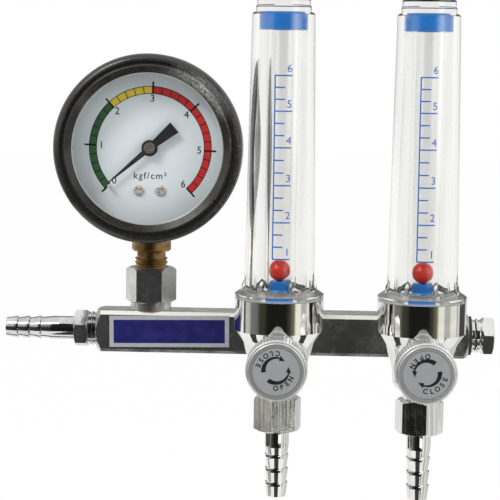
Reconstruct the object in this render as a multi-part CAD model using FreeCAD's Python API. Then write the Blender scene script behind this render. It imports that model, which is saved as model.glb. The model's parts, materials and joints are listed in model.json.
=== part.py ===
import FreeCAD, Part
import math
import os

# Twin flowmeter manifold: a square chromed bar with a hose inlet on its left end, a plug in its right end,
# a pressure gauge on top and two float flowmeters on its front.
# Millimetres. +X runs along the bar, -Y faces the user, +Z is up.
# The origin is the middle of the bar's back face.

# Manifold bar
bar_side = 15.0
bar_bevel = 1.2
bar_end_radius = 6.9
bar_end_slope = 35.5
bar_bore_radius = 3.0
end_port_radius = 6.3
end_port_depth = 9.0
gauge_inset = 19.7
gauge_gap = 1.55
unit_spacing = 50.0
unit_end_inset = 18.9
unit_reach = 24.0

# Fits
thread_clearance = 0.05
running_clearance = 0.05
seat_clearance = 0.1

# Label plate
label_inset = 5.4
label_length = 43.5
label_height = 11.4
label_thickness = 0.5
label_lift = 0.5
label_tilt = 1.0

# Screw threads where they show: rings of this pitch and depth
thread_pitch = 1.34
thread_depth = 0.55
thread_end_chamfer = 0.6

# Hose barbs: three ridges each, every ridge a little smaller than the one before it
barb_count = 3
barb_ridge_radius = 4.2
barb_ridge_step = 0.1
barb_rim = 0.4
barb_root_radius = 3.45
barb_tip_radius = 3.4
barb_bore_radius = 2.3

# Inlet fitting
inlet_hex_flats = 12.3
inlet_hex_length = 5.1
inlet_hex_raise = 17.0
inlet_shank_radius = 4.25
inlet_shank_length = 8.1
inlet_neck_radius = 3.7
inlet_neck_length = 4.4
inlet_barb_pitch = 4.25
inlet_thread_shown = 3.0
inlet_thread_length = 7.0

# End plug
plug_hex_flats = 13.2
plug_hex_length = 4.3
plug_hex_raise = 9.0
plug_thread_shown = 4.4
plug_thread_length = 7.0
plug_ring_radius = 7.1
plug_ring_thickness = 0.7

# Gauge adapter and stem
adapter_collar_radius = 7.5
adapter_collar_height = 2.9
adapter_flats = 16.0
adapter_height = 12.8
adapter_spigot_radius = 4.8
adapter_spigot_length = 4.0
stem_thread_radius = 6.0
stem_thread_length = 8.0
stem_thread_shown = 3.3
stem_neck_radius = 5.2
stem_neck_height = 2.6
stem_flange_radius = 7.15
stem_passage_radius = 1.5

# Gauge case, measured forward from the stem's axis
gauge_height = 66.9
case_radius = 32.3
case_wall = 1.0
case_back = -7.0
case_front = 14.7
case_corner = 3.0
case_lip = 2.6
bezel_wall = 1.2
bezel_face_width = 7.0
bezel_skirt_length = 9.0
bezel_crest_height = 2.8
bezel_inner_crest_inset = 4.3
bezel_groove_inset = 3.1
bezel_groove_depth = 1.0
bezel_outer_rounding = 2.6
bezel_lip = 1.4
window_thickness = 2.0
window_seal_thickness = 0.8
window_seal_width = 1.8

# Dial and pointer
dial_edge_inset = 2.8
dial_thickness = 0.5
dial_face = 7.2
dial_hole_radius = 1.6
screw_offset_x = 3.9
screw_offset_down = 15.3
screw_head_radius = 1.92
screw_head_height = 1.1
screw_slot_width = 0.5
screw_slot_depth = 0.5
screw_shank_radius = 1.0
screw_shank_length = 4.0
pointer_gap = 2.4
pointer_thickness = 0.4
pointer_rest_angle = 220.5
pointer_tip_reach = 20.2
pointer_tip_half = 0.15
pointer_root_half = 1.1
pointer_tail_reach = 11.6
pointer_tail_half = 2.3
pointer_tail_root_half = 0.8
pointer_hub_radius = 2.9
bush_radius = 2.1
bush_height = 1.2
stop_radius = 0.7
stop_inset = 0.3
stop_gap = 0.3

# Stem block and Bourdon tube
block_width = 14.0
block_top = 12.0
block_bottom = 29.0
block_back = -2.2
tube_radius = 20.0
tube_wall_radial = 2.4
tube_width = 6.0
tube_centre = 1.5
tube_hollow_radial = 1.5
tube_hollow_width = 5.0
tube_start_angle = 263.0
tube_end_angle = -20.0
tip_span = 7.0

# Movement: sector and pinion
gear_module = 0.3
pinion_teeth = 10
sector_full_teeth = 70
sector_teeth = 12
sector_teeth_above = 2
pressure_angle = 20.0
gear_backlash = 0.05
gear_thickness = 0.8
gear_level = 0.0
pinion_length = 1.6
sector_bearing_angle = -40.0
sector_tail_length = 4.0
sector_tail_half = 0.9
sector_hub_radius = 1.6
sector_rim_width = 1.5
arbor_radius = 0.5
pointer_turn_span = 270.0
plate_thickness = 0.8
rear_plate_level = -3.0
front_plate_level = 3.0
plate_left = 6.4
plate_right = 4.4
plate_margin = 2.4
plate_top = 7.4
plate_tab = 6.0
pillar_radius = 1.0
pillar_inset = 1.8
link_length = 5.5
link_half = 0.7
link_thickness = 0.6
link_level = 1.2
link_pin_radius = 0.35
lug_level = 2.2
lug_thickness = 0.6
lug_wall = 0.75
spring_first_radius = 1.7
spring_pitch = 0.9
spring_turns = 3
spring_thickness = 0.2
spring_width = 0.6
spring_level = -1.7
spring_stud_radius = 0.5

# Flow unit, heights from the bar's axis
cup_radius = 15.6
cup_top = 15.6
cup_height = 11.4
cup_wall = 1.8
cup_depth = 8.2
funnel_shoulder_radius = 12.8
funnel_shoulder_drop = 3.6
funnel_mid_radius = 11.3
funnel_mid_drop = 8.2
funnel_waist_radius = 9.8
funnel_waist_drop = 15.8
funnel_end_radius = 6.9
funnel_end_drop = 20.2
spout_radius = 6.0
spout_length = 11.0
nipple_level = -1.5
nipple_boss_radius = 6.8
nipple_boss_reach = 15.2
nipple_thread_radius = 4.5
nipple_thread_length = 6.0
nipple_collar_radius = 5.4
nipple_bore_radius = 2.0

# Needle valve, measured forward from the unit's axis
valve_level = -4.8
valve_boss_radius = 8.4
valve_boss_reach = 15.4
bonnet_thread_radius = 5.5
bonnet_thread_length = 7.0
bonnet_flats = 13.6
bonnet_corner = 1.2
bonnet_head = 2.8
bonnet_front_wall = 1.6
spindle_radius = 2.5
spindle_stem_radius = 2.0
spindle_collar_radius = 3.1
spindle_collar_length = 1.0
spindle_collar_start = 9.4
seal_outer_radius = 3.2
seal_length = 1.4
needle_length = 5.5
needle_tip_radius = 0.5
needle_tip_length = 2.0
chamber_radius = 2.6
orifice_radius = 1.0
valve_seat_back = 2.5
knob_back = 20.8
knob_front = 33.2
knob_radius = 10.4
knob_ring_radius = 9.6
knob_ring_length = 1.8
knob_edge_rounding = 0.4
knob_chamfer = 0.5
knurl_count = 60
knurl_depth = 0.35
knob_disc_radius = 8.0
knob_disc_thickness = 0.6
knob_disc_recess = 0.7
knob_bore_depth = 9.0

# Tube, ball and cover
seat_disc_radius = 4.9
seat_disc_height = 1.8
seat_post_radius = 3.65
seat_post_height = 5.1
seat_sink = 0.6
seat_bore_radius = 1.2
ball_radius = 3.73
meter_outer_radius = 5.45
meter_bore_bottom = 3.83
meter_bore_top = 4.3
meter_sink = 3.4
cover_height = 99.4
cover_foot_height = 2.2
cover_cone_height = 1.2
cover_bottom_radius = 12.35
cover_top_radius = 10.9
cover_wall = 2.4
rib_count = 8
rib_width = 1.4
rib_reach = 1.3
rib_height = 4.6
gasket_width = 1.6
gasket_height = 1.2
top_ring_radius = 8.4
top_ring_height = 5.4
top_ring_bore_radius = 2.5
cap_edge_inset = 1.3
cap_step_inset = 0.3
cap_step_height = 2.4
cap_height = 4.9
cap_plug_depth = 0.6

# Outlet
outlet_nut_flats = 15.0
outlet_nut_drop = 3.2
outlet_nut_height = 12.0
outlet_nut_turns = {"left": -12.5, "right": 13.5}
outlet_lip = 2.4
outlet_shank_radius = 4.3
outlet_shank_length = 5.2
outlet_relief = 0.25
outlet_neck_radius = 3.75
outlet_neck_length = 3.5
outlet_barb_pitch = 5.0

# Places worked out from the sizes above
axis_y = -bar_side / 2
bezel_radius = case_radius + bezel_wall
gauge_to_unit = bezel_radius + gauge_gap + cover_bottom_radius
bar_length = gauge_inset + gauge_to_unit + unit_spacing + unit_end_inset
bar_left = -bar_length / 2
bar_right = bar_length / 2
gauge_x = bar_left + gauge_inset
unit_xs = {"left": bar_right - unit_end_inset - unit_spacing, "right": bar_right - unit_end_inset}
unit_y = axis_y - unit_reach
bar_top = bar_side / 2
adapter_bottom = bar_top + adapter_collar_height
adapter_top = adapter_bottom + adapter_height
neck_bottom = adapter_top + stem_thread_shown
flange_bottom = neck_bottom + stem_neck_height
flange_top = gauge_height - case_radius
window_front = case_front + window_seal_thickness + window_thickness
window_back = case_front + window_seal_thickness
window_radius = case_radius - seat_clearance
bezel_crest = window_front + bezel_crest_height
bezel_skirt_back = window_front - bezel_skirt_length
dial_radius = case_radius - dial_edge_inset
dial_back = dial_face - dial_thickness
pointer_back = dial_face + pointer_gap
pointer_front = pointer_back + pointer_thickness
pinion_pitch_radius = gear_module * pinion_teeth / 2
sector_pitch_radius = gear_module * sector_full_teeth / 2
gear_distance = pinion_pitch_radius + sector_pitch_radius
sector_swing = pointer_turn_span * pinion_teeth / sector_full_teeth
tail_angle = sector_bearing_angle - sector_swing / 2
cup_bottom = cup_top - cup_height
cup_floor = cup_top - cup_depth
funnel_shoulder = cup_bottom - funnel_shoulder_drop
funnel_mid = cup_bottom - funnel_mid_drop
funnel_waist = cup_bottom - funnel_waist_drop
funnel_end = cup_bottom - funnel_end_drop
spout_end = funnel_end - spout_length
outlet_nut_top = funnel_end - outlet_nut_drop
outlet_nut_bottom = outlet_nut_top - outlet_nut_height
seat_level = cup_top - seat_sink
seat_top = seat_level + seat_disc_height + seat_post_height
meter_bottom = seat_level + seat_disc_height
ball_rest = seat_top + ball_radius
cover_foot_radius = cup_radius
cover_foot_top = cup_top + cover_foot_height
cover_skirt_bottom = cup_floor + gasket_height
cover_top = cup_top + cover_height
top_ring_top = cover_top - cap_plug_depth
top_ring_bottom = top_ring_top - top_ring_height
meter_top = top_ring_top - meter_sink
cap_radius = cover_top_radius - cap_edge_inset
cap_step_radius = cap_radius - cap_step_inset
cap_step = cover_top + cap_step_height
cap_top = cover_top + cap_height

RIGHT = FreeCAD.Vector(1, 0, 0)
UP = FreeCAD.Vector(0, 0, 1)
DOWN = FreeCAD.Vector(0, 0, -1)
BACK = FreeCAD.Vector(0, 1, 0)
FRONT = FreeCAD.Vector(0, -1, 0)
LEFT = FreeCAD.Vector(-1, 0, 0)


def vec(x, y, z):
    return FreeCAD.Vector(x, y, z)


def polar(radius, degrees):
    """a point at a radius and an angle, in the plane that faces the user"""
    angle = math.radians(degrees)
    return radius * math.cos(angle), radius * math.sin(angle)


def outline(points):
    """closed wire in the XY plane; an entry of two points is an arc through the first to the second"""
    edges = []
    start = vec(points[0][0], points[0][1], 0)
    here = start
    for entry in points[1:]:
        if isinstance(entry[0], tuple):
            middle = vec(entry[0][0], entry[0][1], 0)
            there = vec(entry[1][0], entry[1][1], 0)
            edges.append(Part.Arc(here, middle, there).toShape())
        else:
            there = vec(entry[0], entry[1], 0)
            edges.append(Part.LineSegment(here, there).toShape())
        here = there
    if here.distanceToPoint(start) > 1e-7:
        edges.append(Part.LineSegment(here, start).toShape())
    return Part.Wire(edges)


def slab(points, height, level=0.0):
    """an outline raised from a level by a height along Z"""
    face = Part.Face(outline(points))
    solid = face.extrude(vec(0, 0, height))
    solid.translate(vec(0, 0, level))
    return solid


def turned(points):
    """a profile of (radius, height) points turned about Z"""
    face = Part.Face(outline(points))
    face.rotate(vec(0, 0, 0), RIGHT, 90)
    return face.revolve(vec(0, 0, 0), UP, 360)


def rod(radius, low, high):
    """a cylinder on Z between two levels"""
    return Part.makeCylinder(radius, high - low, vec(0, 0, low))


def ring(inner, outer, low, high):
    return rod(outer, low, high).cut(rod(inner, low - 1, high + 1))


def hexagon(flats, height, turn=0.0, chamfer=0.12):
    """a hexagonal prism on Z from level 0, with both ends turned to a 30 degree chamfer"""
    radius = flats / math.sqrt(3)
    corners = [polar(radius, turn + 60 * k) for k in range(6)]
    prism = slab(corners, height)
    flat = flats / 2 * (1 - chamfer / 4)
    drop = (radius - flat) * math.tan(math.radians(30))
    turning = turned([(0, 0), (flat, 0), (radius, drop),
                      (radius, height - drop), (flat, height), (0, height)])
    return prism.common(turning)


def thread_rings(radius, low, high):
    """profile points of a thread that shows, from one level up to another"""
    turns = max(1, int((high - low) / thread_pitch))
    pitch = (high - low) / turns
    points = []
    for turn in range(turns):
        level = low + pitch * turn
        points.append((radius, level + 0.1 * pitch))
        points.append((radius - thread_depth, level + 0.45 * pitch))
        points.append((radius - thread_depth, level + 0.6 * pitch))
        points.append((radius, level + 0.95 * pitch))
    return points


def stand(shape, base, direction):
    """puts a shape modelled on Z at a base point along a direction"""
    placed = shape.copy()
    placed.Placement = FreeCAD.Placement(base, FreeCAD.Rotation(UP, direction)).multiply(shape.Placement)
    return placed


def face_user(shape, x, y, z):
    """puts a shape modelled flat, as the user sees it, with its Z towards the user"""
    placed = shape.copy()
    placed.Placement = FreeCAD.Placement(vec(x, y, z), FreeCAD.Rotation(RIGHT, 90)).multiply(shape.Placement)
    return placed


def gauge_place(shape):
    return face_user(shape, gauge_x, axis_y, gauge_height)


def save(shape, node):
    solids = shape.Solids
    result = solids[0] if len(solids) == 1 else Part.makeCompound(solids)
    result.exportStep("parts/" + node + ".step")


def make_bar():
    """square bar with bevelled edges, turned cone at both ends, drilled through and ported"""
    half = bar_side / 2
    flat = half - bar_bevel
    section = [(flat, -half), (half, -flat), (half, flat), (flat, half),
               (-flat, half), (-half, flat), (-half, -flat), (-flat, -half)]
    bar = stand(slab(section, bar_length), vec(bar_left, axis_y, 0), RIGHT)
    corner = math.hypot(half, flat)
    cone = (corner - bar_end_radius) * math.tan(math.radians(bar_end_slope))
    turning = turned([(0, 0), (bar_end_radius, 0), (corner, cone), (corner, bar_length - cone),
                      (bar_end_radius, bar_length), (0, bar_length)])
    bar = bar.common(stand(turning, vec(bar_left, axis_y, 0), RIGHT))
    port = end_port_radius + thread_clearance
    bar = bar.cut(stand(rod(bar_bore_radius, -1, bar_length + 1), vec(bar_left, axis_y, 0), RIGHT))
    bar = bar.cut(stand(rod(port, -1, end_port_depth), vec(bar_left, axis_y, 0), RIGHT))
    bar = bar.cut(stand(rod(port, -1, end_port_depth), vec(bar_right, axis_y, 0), LEFT))
    spigot = adapter_spigot_radius + thread_clearance
    seat = bar_top - adapter_spigot_length - seat_clearance
    bar = bar.cut(stand(rod(spigot, seat, bar_top + 1), vec(gauge_x, axis_y, 0), UP))
    bar = bar.cut(stand(rod(stem_passage_radius, 0, bar_top), vec(gauge_x, axis_y, 0), UP))
    nipple = nipple_thread_radius + thread_clearance
    reach = bar_side / 2
    for x in unit_xs.values():
        port = rod(nipple, reach - nipple_thread_length, reach + 1)
        bar = bar.cut(stand(port, vec(x, axis_y, nipple_level), FRONT))
    return bar


def make_label():
    """plate on the bar's front, stuck on a little askew"""
    plate = Part.makeBox(label_length, label_height, label_thickness,
                         vec(-label_length / 2, -label_height / 2, 0))
    plate.rotate(vec(0, 0, 0), UP, label_tilt)
    middle = bar_left + label_inset + label_length / 2
    return face_user(plate, middle, axis_y - bar_side / 2, label_lift)


def barb_profile(start, pitch):
    """outline points of the ridges from a level up: a sharp step, a narrow rim and a cone for each"""
    points = []
    level = start
    for ridge in range(barb_count):
        radius = barb_ridge_radius - barb_ridge_step * ridge
        points.append((radius, level))
        points.append((radius, level + barb_rim))
        level = level + pitch
        points.append((barb_root_radius if ridge < barb_count - 1 else barb_tip_radius, level))
    points.append((barb_bore_radius, level))
    return points


def make_inlet_barb():
    """hex hose fitting: its thread enters the bar's left end"""
    thread = inlet_thread_shown + inlet_thread_length
    hex_end = thread + inlet_hex_length
    shank_end = hex_end + inlet_shank_length
    neck_end = shank_end + inlet_neck_length
    start = [(barb_bore_radius, 0), (end_port_radius - thread_end_chamfer, 0),
             (end_port_radius, thread_end_chamfer), (end_port_radius, inlet_thread_length)]
    rings = thread_rings(end_port_radius, inlet_thread_length, thread)
    tail = [(end_port_radius, thread), (inlet_shank_radius, thread), (inlet_shank_radius, shank_end),
            (inlet_neck_radius, neck_end)]
    body = turned(start + rings + tail + barb_profile(neck_end, inlet_barb_pitch))
    nut = hexagon(inlet_hex_flats, inlet_hex_length, 30 + inlet_hex_raise)
    nut.translate(vec(0, 0, thread))
    nut = nut.cut(rod(barb_bore_radius, 0, hex_end + 1))
    fitting = body.fuse(nut).removeSplitter()
    return stand(fitting, vec(bar_left + inlet_thread_length, axis_y, 0), LEFT)


def make_end_plug():
    """hex plug whose thread enters the bar's right end"""
    thread = plug_thread_shown + plug_thread_length
    start = [(0, 0), (end_port_radius - thread_end_chamfer, 0), (end_port_radius, thread_end_chamfer),
             (end_port_radius, plug_thread_length + plug_ring_thickness)]
    rings = thread_rings(end_port_radius, plug_thread_length + plug_ring_thickness, thread)
    body = turned(start + rings + [(end_port_radius, thread), (0, thread)])
    head = hexagon(plug_hex_flats, plug_hex_length, 30 - plug_hex_raise)
    head.translate(vec(0, 0, thread))
    plug = body.fuse(head).removeSplitter()
    return stand(plug, vec(bar_right - plug_thread_length, axis_y, 0), RIGHT)


def make_plug_ring():
    seal = ring(end_port_radius + seat_clearance, plug_ring_radius, 0, plug_ring_thickness)
    return stand(seal, vec(bar_right, axis_y, 0), RIGHT)


def make_adapter():
    """tall hex socket that stands on the bar's top and takes the gauge's thread"""
    collar = rod(adapter_collar_radius, bar_top, adapter_bottom)
    spigot = rod(adapter_spigot_radius, bar_top - adapter_spigot_length, bar_top)
    socket = hexagon(adapter_flats, adapter_height, 0.0)
    socket.translate(vec(0, 0, adapter_bottom))
    adapter = socket.fuse(collar).fuse(spigot).removeSplitter()
    mouth = adapter_top - stem_thread_length - seat_clearance
    adapter = adapter.cut(rod(stem_thread_radius + thread_clearance, mouth, adapter_top + 1))
    adapter = adapter.cut(rod(stem_passage_radius, 0, adapter_top))
    return stand(adapter, vec(gauge_x, axis_y, 0), UP)


def make_stem():
    """turned brass stem below, square block above that carries the tube, the movement and the dial"""
    low = adapter_top - stem_thread_length
    block_low = gauge_height - block_bottom
    spigot = stem_flange_radius - 0.9
    start = [(0, low), (stem_thread_radius - thread_end_chamfer, low),
             (stem_thread_radius, low + thread_end_chamfer), (stem_thread_radius, adapter_top)]
    rings = thread_rings(stem_thread_radius, adapter_top, neck_bottom)
    neck = [(stem_thread_radius, neck_bottom), (stem_neck_radius, neck_bottom),
            (stem_neck_radius, flange_bottom), (stem_flange_radius - 0.6, flange_bottom),
            (stem_flange_radius, flange_bottom + 0.6), (stem_flange_radius, flange_top),
            (spigot, flange_top), (spigot, block_low + 0.5), (0, block_low + 0.5)]
    stem = turned(start + rings + neck)
    stem = stand(stem, vec(gauge_x, axis_y, 0), UP)
    depth = dial_back - block_back
    block = slab([(-block_width / 2, -block_bottom), (block_width / 2, -block_bottom),
                  (block_width / 2, -block_top), (-block_width / 2, -block_top)], depth, block_back)
    block = gauge_place(block)
    stem = stem.fuse(block).removeSplitter()
    passage = rod(stem_passage_radius, low - 1, gauge_height - tube_radius)
    stem = stem.cut(stand(passage, vec(gauge_x, axis_y, 0), UP))
    slot = tube_band(tube_wall_radial + 2 * thread_clearance, tube_width + 2 * thread_clearance,
                     tube_start_angle + 4, tube_start_angle - 40)
    stem = stem.cut(gauge_place(slot))
    hole = rod(screw_shank_radius + thread_clearance, dial_back - screw_shank_length, dial_back + 1)
    for side in (-1, 1):
        drill = hole.copy()
        drill.translate(vec(side * screw_offset_x, -screw_offset_down, 0))
        stem = stem.cut(gauge_place(drill))
    return stem


def make_case():
    """pressed cup, open to the user, with a lip that the window's seal sits on"""
    inner = case_radius - case_wall
    bend = case_corner * (1 - math.sqrt(0.5))
    small = case_corner - case_wall
    inner_bend = small * (1 - math.sqrt(0.5))
    back = case_back + case_wall
    cup = turned([(0, case_back), (case_radius - case_corner, case_back),
                  ((case_radius - bend, case_back + bend), (case_radius, case_back + case_corner)),
                  (case_radius, case_front), (case_radius - case_lip, case_front),
                  (case_radius - case_lip, case_front - case_wall), (inner, case_front - case_wall),
                  (inner, back + small),
                  ((inner - inner_bend, back + inner_bend), (inner - small, back)),
                  (0, back)])
    cup = gauge_place(cup)
    hole = rod(stem_flange_radius - 0.9 + seat_clearance, 0, gauge_height - block_top)
    return cup.cut(stand(hole, vec(gauge_x, axis_y, 0), UP))


def make_bezel():
    """black ring: a cone down to the window, a groove, a rolled outer edge and a skirt over the case"""
    inside = case_radius + seat_clearance
    edge = bezel_crest - bezel_outer_rounding
    bend = bezel_outer_rounding * (1 - math.sqrt(0.5))
    groove = bezel_crest - bezel_groove_depth
    groove_radius = bezel_radius - bezel_groove_inset
    crest_radius = bezel_radius - bezel_inner_crest_inset
    opening = bezel_radius - bezel_face_width
    profile = [(bezel_radius, bezel_skirt_back), (bezel_radius, edge),
               ((bezel_radius - bend, bezel_crest - bend),
                (bezel_radius - bezel_outer_rounding, bezel_crest)),
               (groove_radius + 0.6, groove), (groove_radius, groove), (crest_radius, bezel_crest - 0.2),
               (opening, window_front + bezel_lip), (opening, window_front),
               (inside, window_front), (inside, bezel_skirt_back)]
    return gauge_place(turned(profile))


def make_window():
    return gauge_place(rod(window_radius, window_back, window_front))


def make_window_seal():
    inner = case_radius - window_seal_width
    return gauge_place(ring(inner, case_radius - seat_clearance, case_front, window_back))


def make_dial():
    dial = rod(dial_radius, dial_back, dial_face)
    dial = dial.cut(rod(dial_hole_radius, 0, dial_face + 1))
    for side in (-1, 1):
        hole = rod(screw_shank_radius + thread_clearance, 0, dial_face + 1)
        hole.translate(vec(side * screw_offset_x, -screw_offset_down, 0))
        dial = dial.cut(hole)
    return gauge_place(dial)


def make_dial_screws():
    """two cross-head screws that hold the dial to the stem's block"""
    screws = []
    low = dial_back - screw_shank_length + seat_clearance
    for side in (-1, 1):
        top = dial_face + screw_head_height
        crown = screw_head_radius - 0.5
        screw = turned([(0, low), (screw_shank_radius, low), (screw_shank_radius, dial_face),
                        (screw_head_radius, dial_face), (screw_head_radius, top - 0.5), (crown, top),
                        (0, top)])
        for turn in (45, 135):
            slot = Part.makeBox(2 * crown, screw_slot_width, screw_slot_depth + 1,
                                vec(-crown, -screw_slot_width / 2, top - screw_slot_depth))
            slot.rotate(vec(0, 0, 0), UP, turn)
            screw = screw.cut(slot)
        screw.translate(vec(side * screw_offset_x, -screw_offset_down, 0))
        screws.append(gauge_place(screw))
    return Part.makeCompound(screws)


def make_pointer():
    """thin needle with a broad tail, lying along +X before it is turned to its rest angle"""
    blade = slab([(pointer_tip_reach, -pointer_tip_half), (pointer_tip_reach, pointer_tip_half),
                  (0, pointer_root_half), (-pointer_tail_reach, pointer_tail_half),
                  (-pointer_tail_reach, -pointer_tail_half), (0, -pointer_root_half)],
                 pointer_thickness, pointer_back)
    hub = rod(pointer_hub_radius, pointer_back - 0.3, pointer_front + 0.3)
    pointer = blade.fuse(hub).removeSplitter()
    pointer = pointer.cut(rod(bush_radius - 0.6, pointer_back - 1, pointer_front + 1))
    pointer.rotate(vec(0, 0, 0), UP, pointer_rest_angle)
    return gauge_place(pointer)


def make_pointer_bush():
    neck = bush_radius - 0.6
    low = pointer_back - 0.3
    seat = pointer_front + 0.3
    top = seat + bush_height
    bush = turned([(0, low), (neck, low), (neck, seat), (bush_radius, seat),
                   (bush_radius, top - 0.4), (bush_radius - 0.4, top), (0, top)])
    hole = rod(arbor_radius, low - 1, seat + 0.6)
    return gauge_place(bush.cut(hole))


def make_pointer_stop():
    """pin on the dial that the needle's edge rests by at zero"""
    stop_reach = pointer_tip_reach - stop_inset
    taper = (pointer_root_half - pointer_tip_half) * stop_inset / pointer_tip_reach
    offset = pointer_tip_half + taper + stop_gap + stop_radius
    pin = rod(stop_radius, dial_face, pointer_front + 0.6)
    pin.translate(vec(stop_reach, offset, 0))
    pin.rotate(vec(0, 0, 0), UP, pointer_rest_angle)
    return gauge_place(pin)


def tube_band(radial, width, start, end):
    """rounded flat section carried round the gauge's centre from one angle down to another"""
    side = radial / 2
    flat = width / 2 - side
    low = tube_centre - flat
    high = tube_centre + flat
    inner = tube_radius - side
    outer = tube_radius + side
    section = outline([(inner, low), ((tube_radius, low - side), (outer, low)), (outer, high),
                       ((tube_radius, high + side), (inner, high))])
    face = Part.Face(section)
    face.rotate(vec(0, 0, 0), RIGHT, 90)
    face.rotate(vec(0, 0, 0), UP, end)
    return face.revolve(vec(0, 0, 0), UP, start - end)


def make_bourdon_tube():
    shell = tube_band(tube_wall_radial, tube_width, tube_start_angle, tube_end_angle)
    hollow = tube_band(tube_hollow_radial, tube_hollow_width, tube_start_angle + 2, tube_end_angle - 2)
    return gauge_place(shell.cut(hollow))


def link_ends():
    """rest places of the link's two pins, and of the far pin when the pointer is at its end"""
    pivot = polar(gear_distance, sector_bearing_angle)
    arm = polar(sector_tail_length, tail_angle)
    moved = polar(sector_tail_length, tail_angle + sector_swing)
    near = (pivot[0] + arm[0], pivot[1] + arm[1])
    travel = (moved[0] - arm[0], moved[1] - arm[1])
    stretch = link_length / math.hypot(travel[0], travel[1])
    far = (near[0] + travel[0] * stretch, near[1] + travel[1] * stretch)
    far_moved = (far[0] + travel[0], far[1] + travel[1])
    return near, far, far_moved


def arc_slot(far, half, thickness, level):
    """the far pin's path, a part of a circle as wide as the pin needs, with round ends"""
    arm = polar(sector_tail_length, tail_angle)
    first = tail_angle
    last = tail_angle + sector_swing
    middle = (first + last) / 2
    inner = sector_tail_length - half
    outer = sector_tail_length + half
    slot = slab([polar(inner, first), (polar(inner, middle), polar(inner, last)), polar(outer, last),
                 (polar(outer, middle), polar(outer, first))], thickness, level)
    for angle in (first, last):
        slot = slot.fuse(pin_at(polar(sector_tail_length, angle), half, level, level + thickness))
    slot.translate(vec(far[0] - arm[0], far[1] - arm[1], 0))
    return slot


def long_plate(first, second, half, thickness, level):
    """flat strip with round ends between two points"""
    dx = second[0] - first[0]
    dy = second[1] - first[1]
    length = math.hypot(dx, dy)
    strip = slab([(0, -half), (length, -half), ((length + half, 0), (length, half)), (0, half),
                  ((-half, 0), (0, -half))], thickness, level)
    strip.rotate(vec(0, 0, 0), UP, math.degrees(math.atan2(dy, dx)))
    strip.translate(vec(first[0], first[1], 0))
    return strip


def pin_at(point, radius, low, high):
    pin = rod(radius, low, high)
    pin.translate(vec(point[0], point[1], 0))
    return pin


def make_tube_tip():
    """block that closes the tube's free end, with a slotted lug for the link"""
    side = tube_wall_radial / 2
    inner = tube_radius - side
    outer = tube_radius + side
    low = tube_centre - tube_width / 2
    middle = tube_end_angle - tip_span / 2
    last = tube_end_angle - tip_span
    corner = polar(inner, tube_end_angle)
    block = slab([corner, polar(outer, tube_end_angle), (polar(outer, middle), polar(outer, last)),
                  polar(inner, last), (polar(inner, middle), corner)], tube_width, low)
    near, far, far_moved = link_ends()
    slot_half = link_pin_radius + seat_clearance
    bridge = slab([polar(inner + 0.5, last), polar(inner + 0.5, tube_end_angle - 0.5),
                   polar(inner - 0.4, tube_end_angle - 0.5), far_moved, far], lug_thickness, lug_level)
    lug = bridge.fuse(arc_slot(far, slot_half + lug_wall, lug_thickness, lug_level))
    lug = lug.cut(arc_slot(far, slot_half, 2 * lug_thickness, lug_level - lug_thickness / 2))
    tip = block.fuse(lug).removeSplitter()
    return gauge_place(tip)


def make_link():
    near, far, far_moved = link_ends()
    strip = long_plate(near, far, link_half, link_thickness, link_level)
    strip = strip.cut(pin_at(near, link_pin_radius + running_clearance, 0, front_plate_level))
    strip = strip.fuse(pin_at(far, link_pin_radius, link_level, lug_level + lug_thickness))
    return gauge_place(strip.removeSplitter())


def involute(base, radius):
    """angle turned by an involute from its base circle out to a radius, in radians"""
    if radius <= base:
        return 0.0
    roll = math.sqrt((radius / base) ** 2 - 1)
    return roll - math.atan(roll)


def tooth_flank(teeth, outer, root, steps=3):
    """half-angles of one tooth from its root out to its tip, as (radius, radians) pairs"""
    pitch = gear_module * teeth / 2
    base = pitch * math.cos(math.radians(pressure_angle))
    half = (math.pi * gear_module / 2 - gear_backlash) / (2 * pitch)
    at_pitch = involute(base, pitch)
    low = max(root, base)
    flank = [(root, half + at_pitch - involute(base, low))]
    for step in range(steps + 1):
        radius = low + (outer - low) * step / steps
        flank.append((radius, half + at_pitch - involute(base, radius)))
    return flank if low > root else flank[1:]


def tooth_points(teeth, centre, outer, root):
    """outline of one tooth about an angle in degrees, going counter-clockwise"""
    flank = tooth_flank(teeth, outer, root)
    middle = math.radians(centre)
    rising = [(r * math.cos(middle - a), r * math.sin(middle - a)) for r, a in flank]
    falling = [(r * math.cos(middle + a), r * math.sin(middle + a)) for r, a in reversed(flank)]
    return rising + falling


def make_pinion_arbor():
    """pinion and the thin arbor that carries the pointer"""
    outer = pinion_pitch_radius + gear_module
    root = pinion_pitch_radius - 1.25 * gear_module
    pitch = 360 / pinion_teeth
    points = []
    for tooth in range(pinion_teeth):
        centre = sector_bearing_angle + pitch * (tooth + 0.5)
        points = points + tooth_points(pinion_teeth, centre, outer, root)
    low = gear_level - (pinion_length - gear_thickness) / 2
    pinion = slab(points, pinion_length, low)
    arbor = rod(arbor_radius, rear_plate_level, pointer_front + 0.9)
    return gauge_place(pinion.fuse(arbor).removeSplitter())


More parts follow.
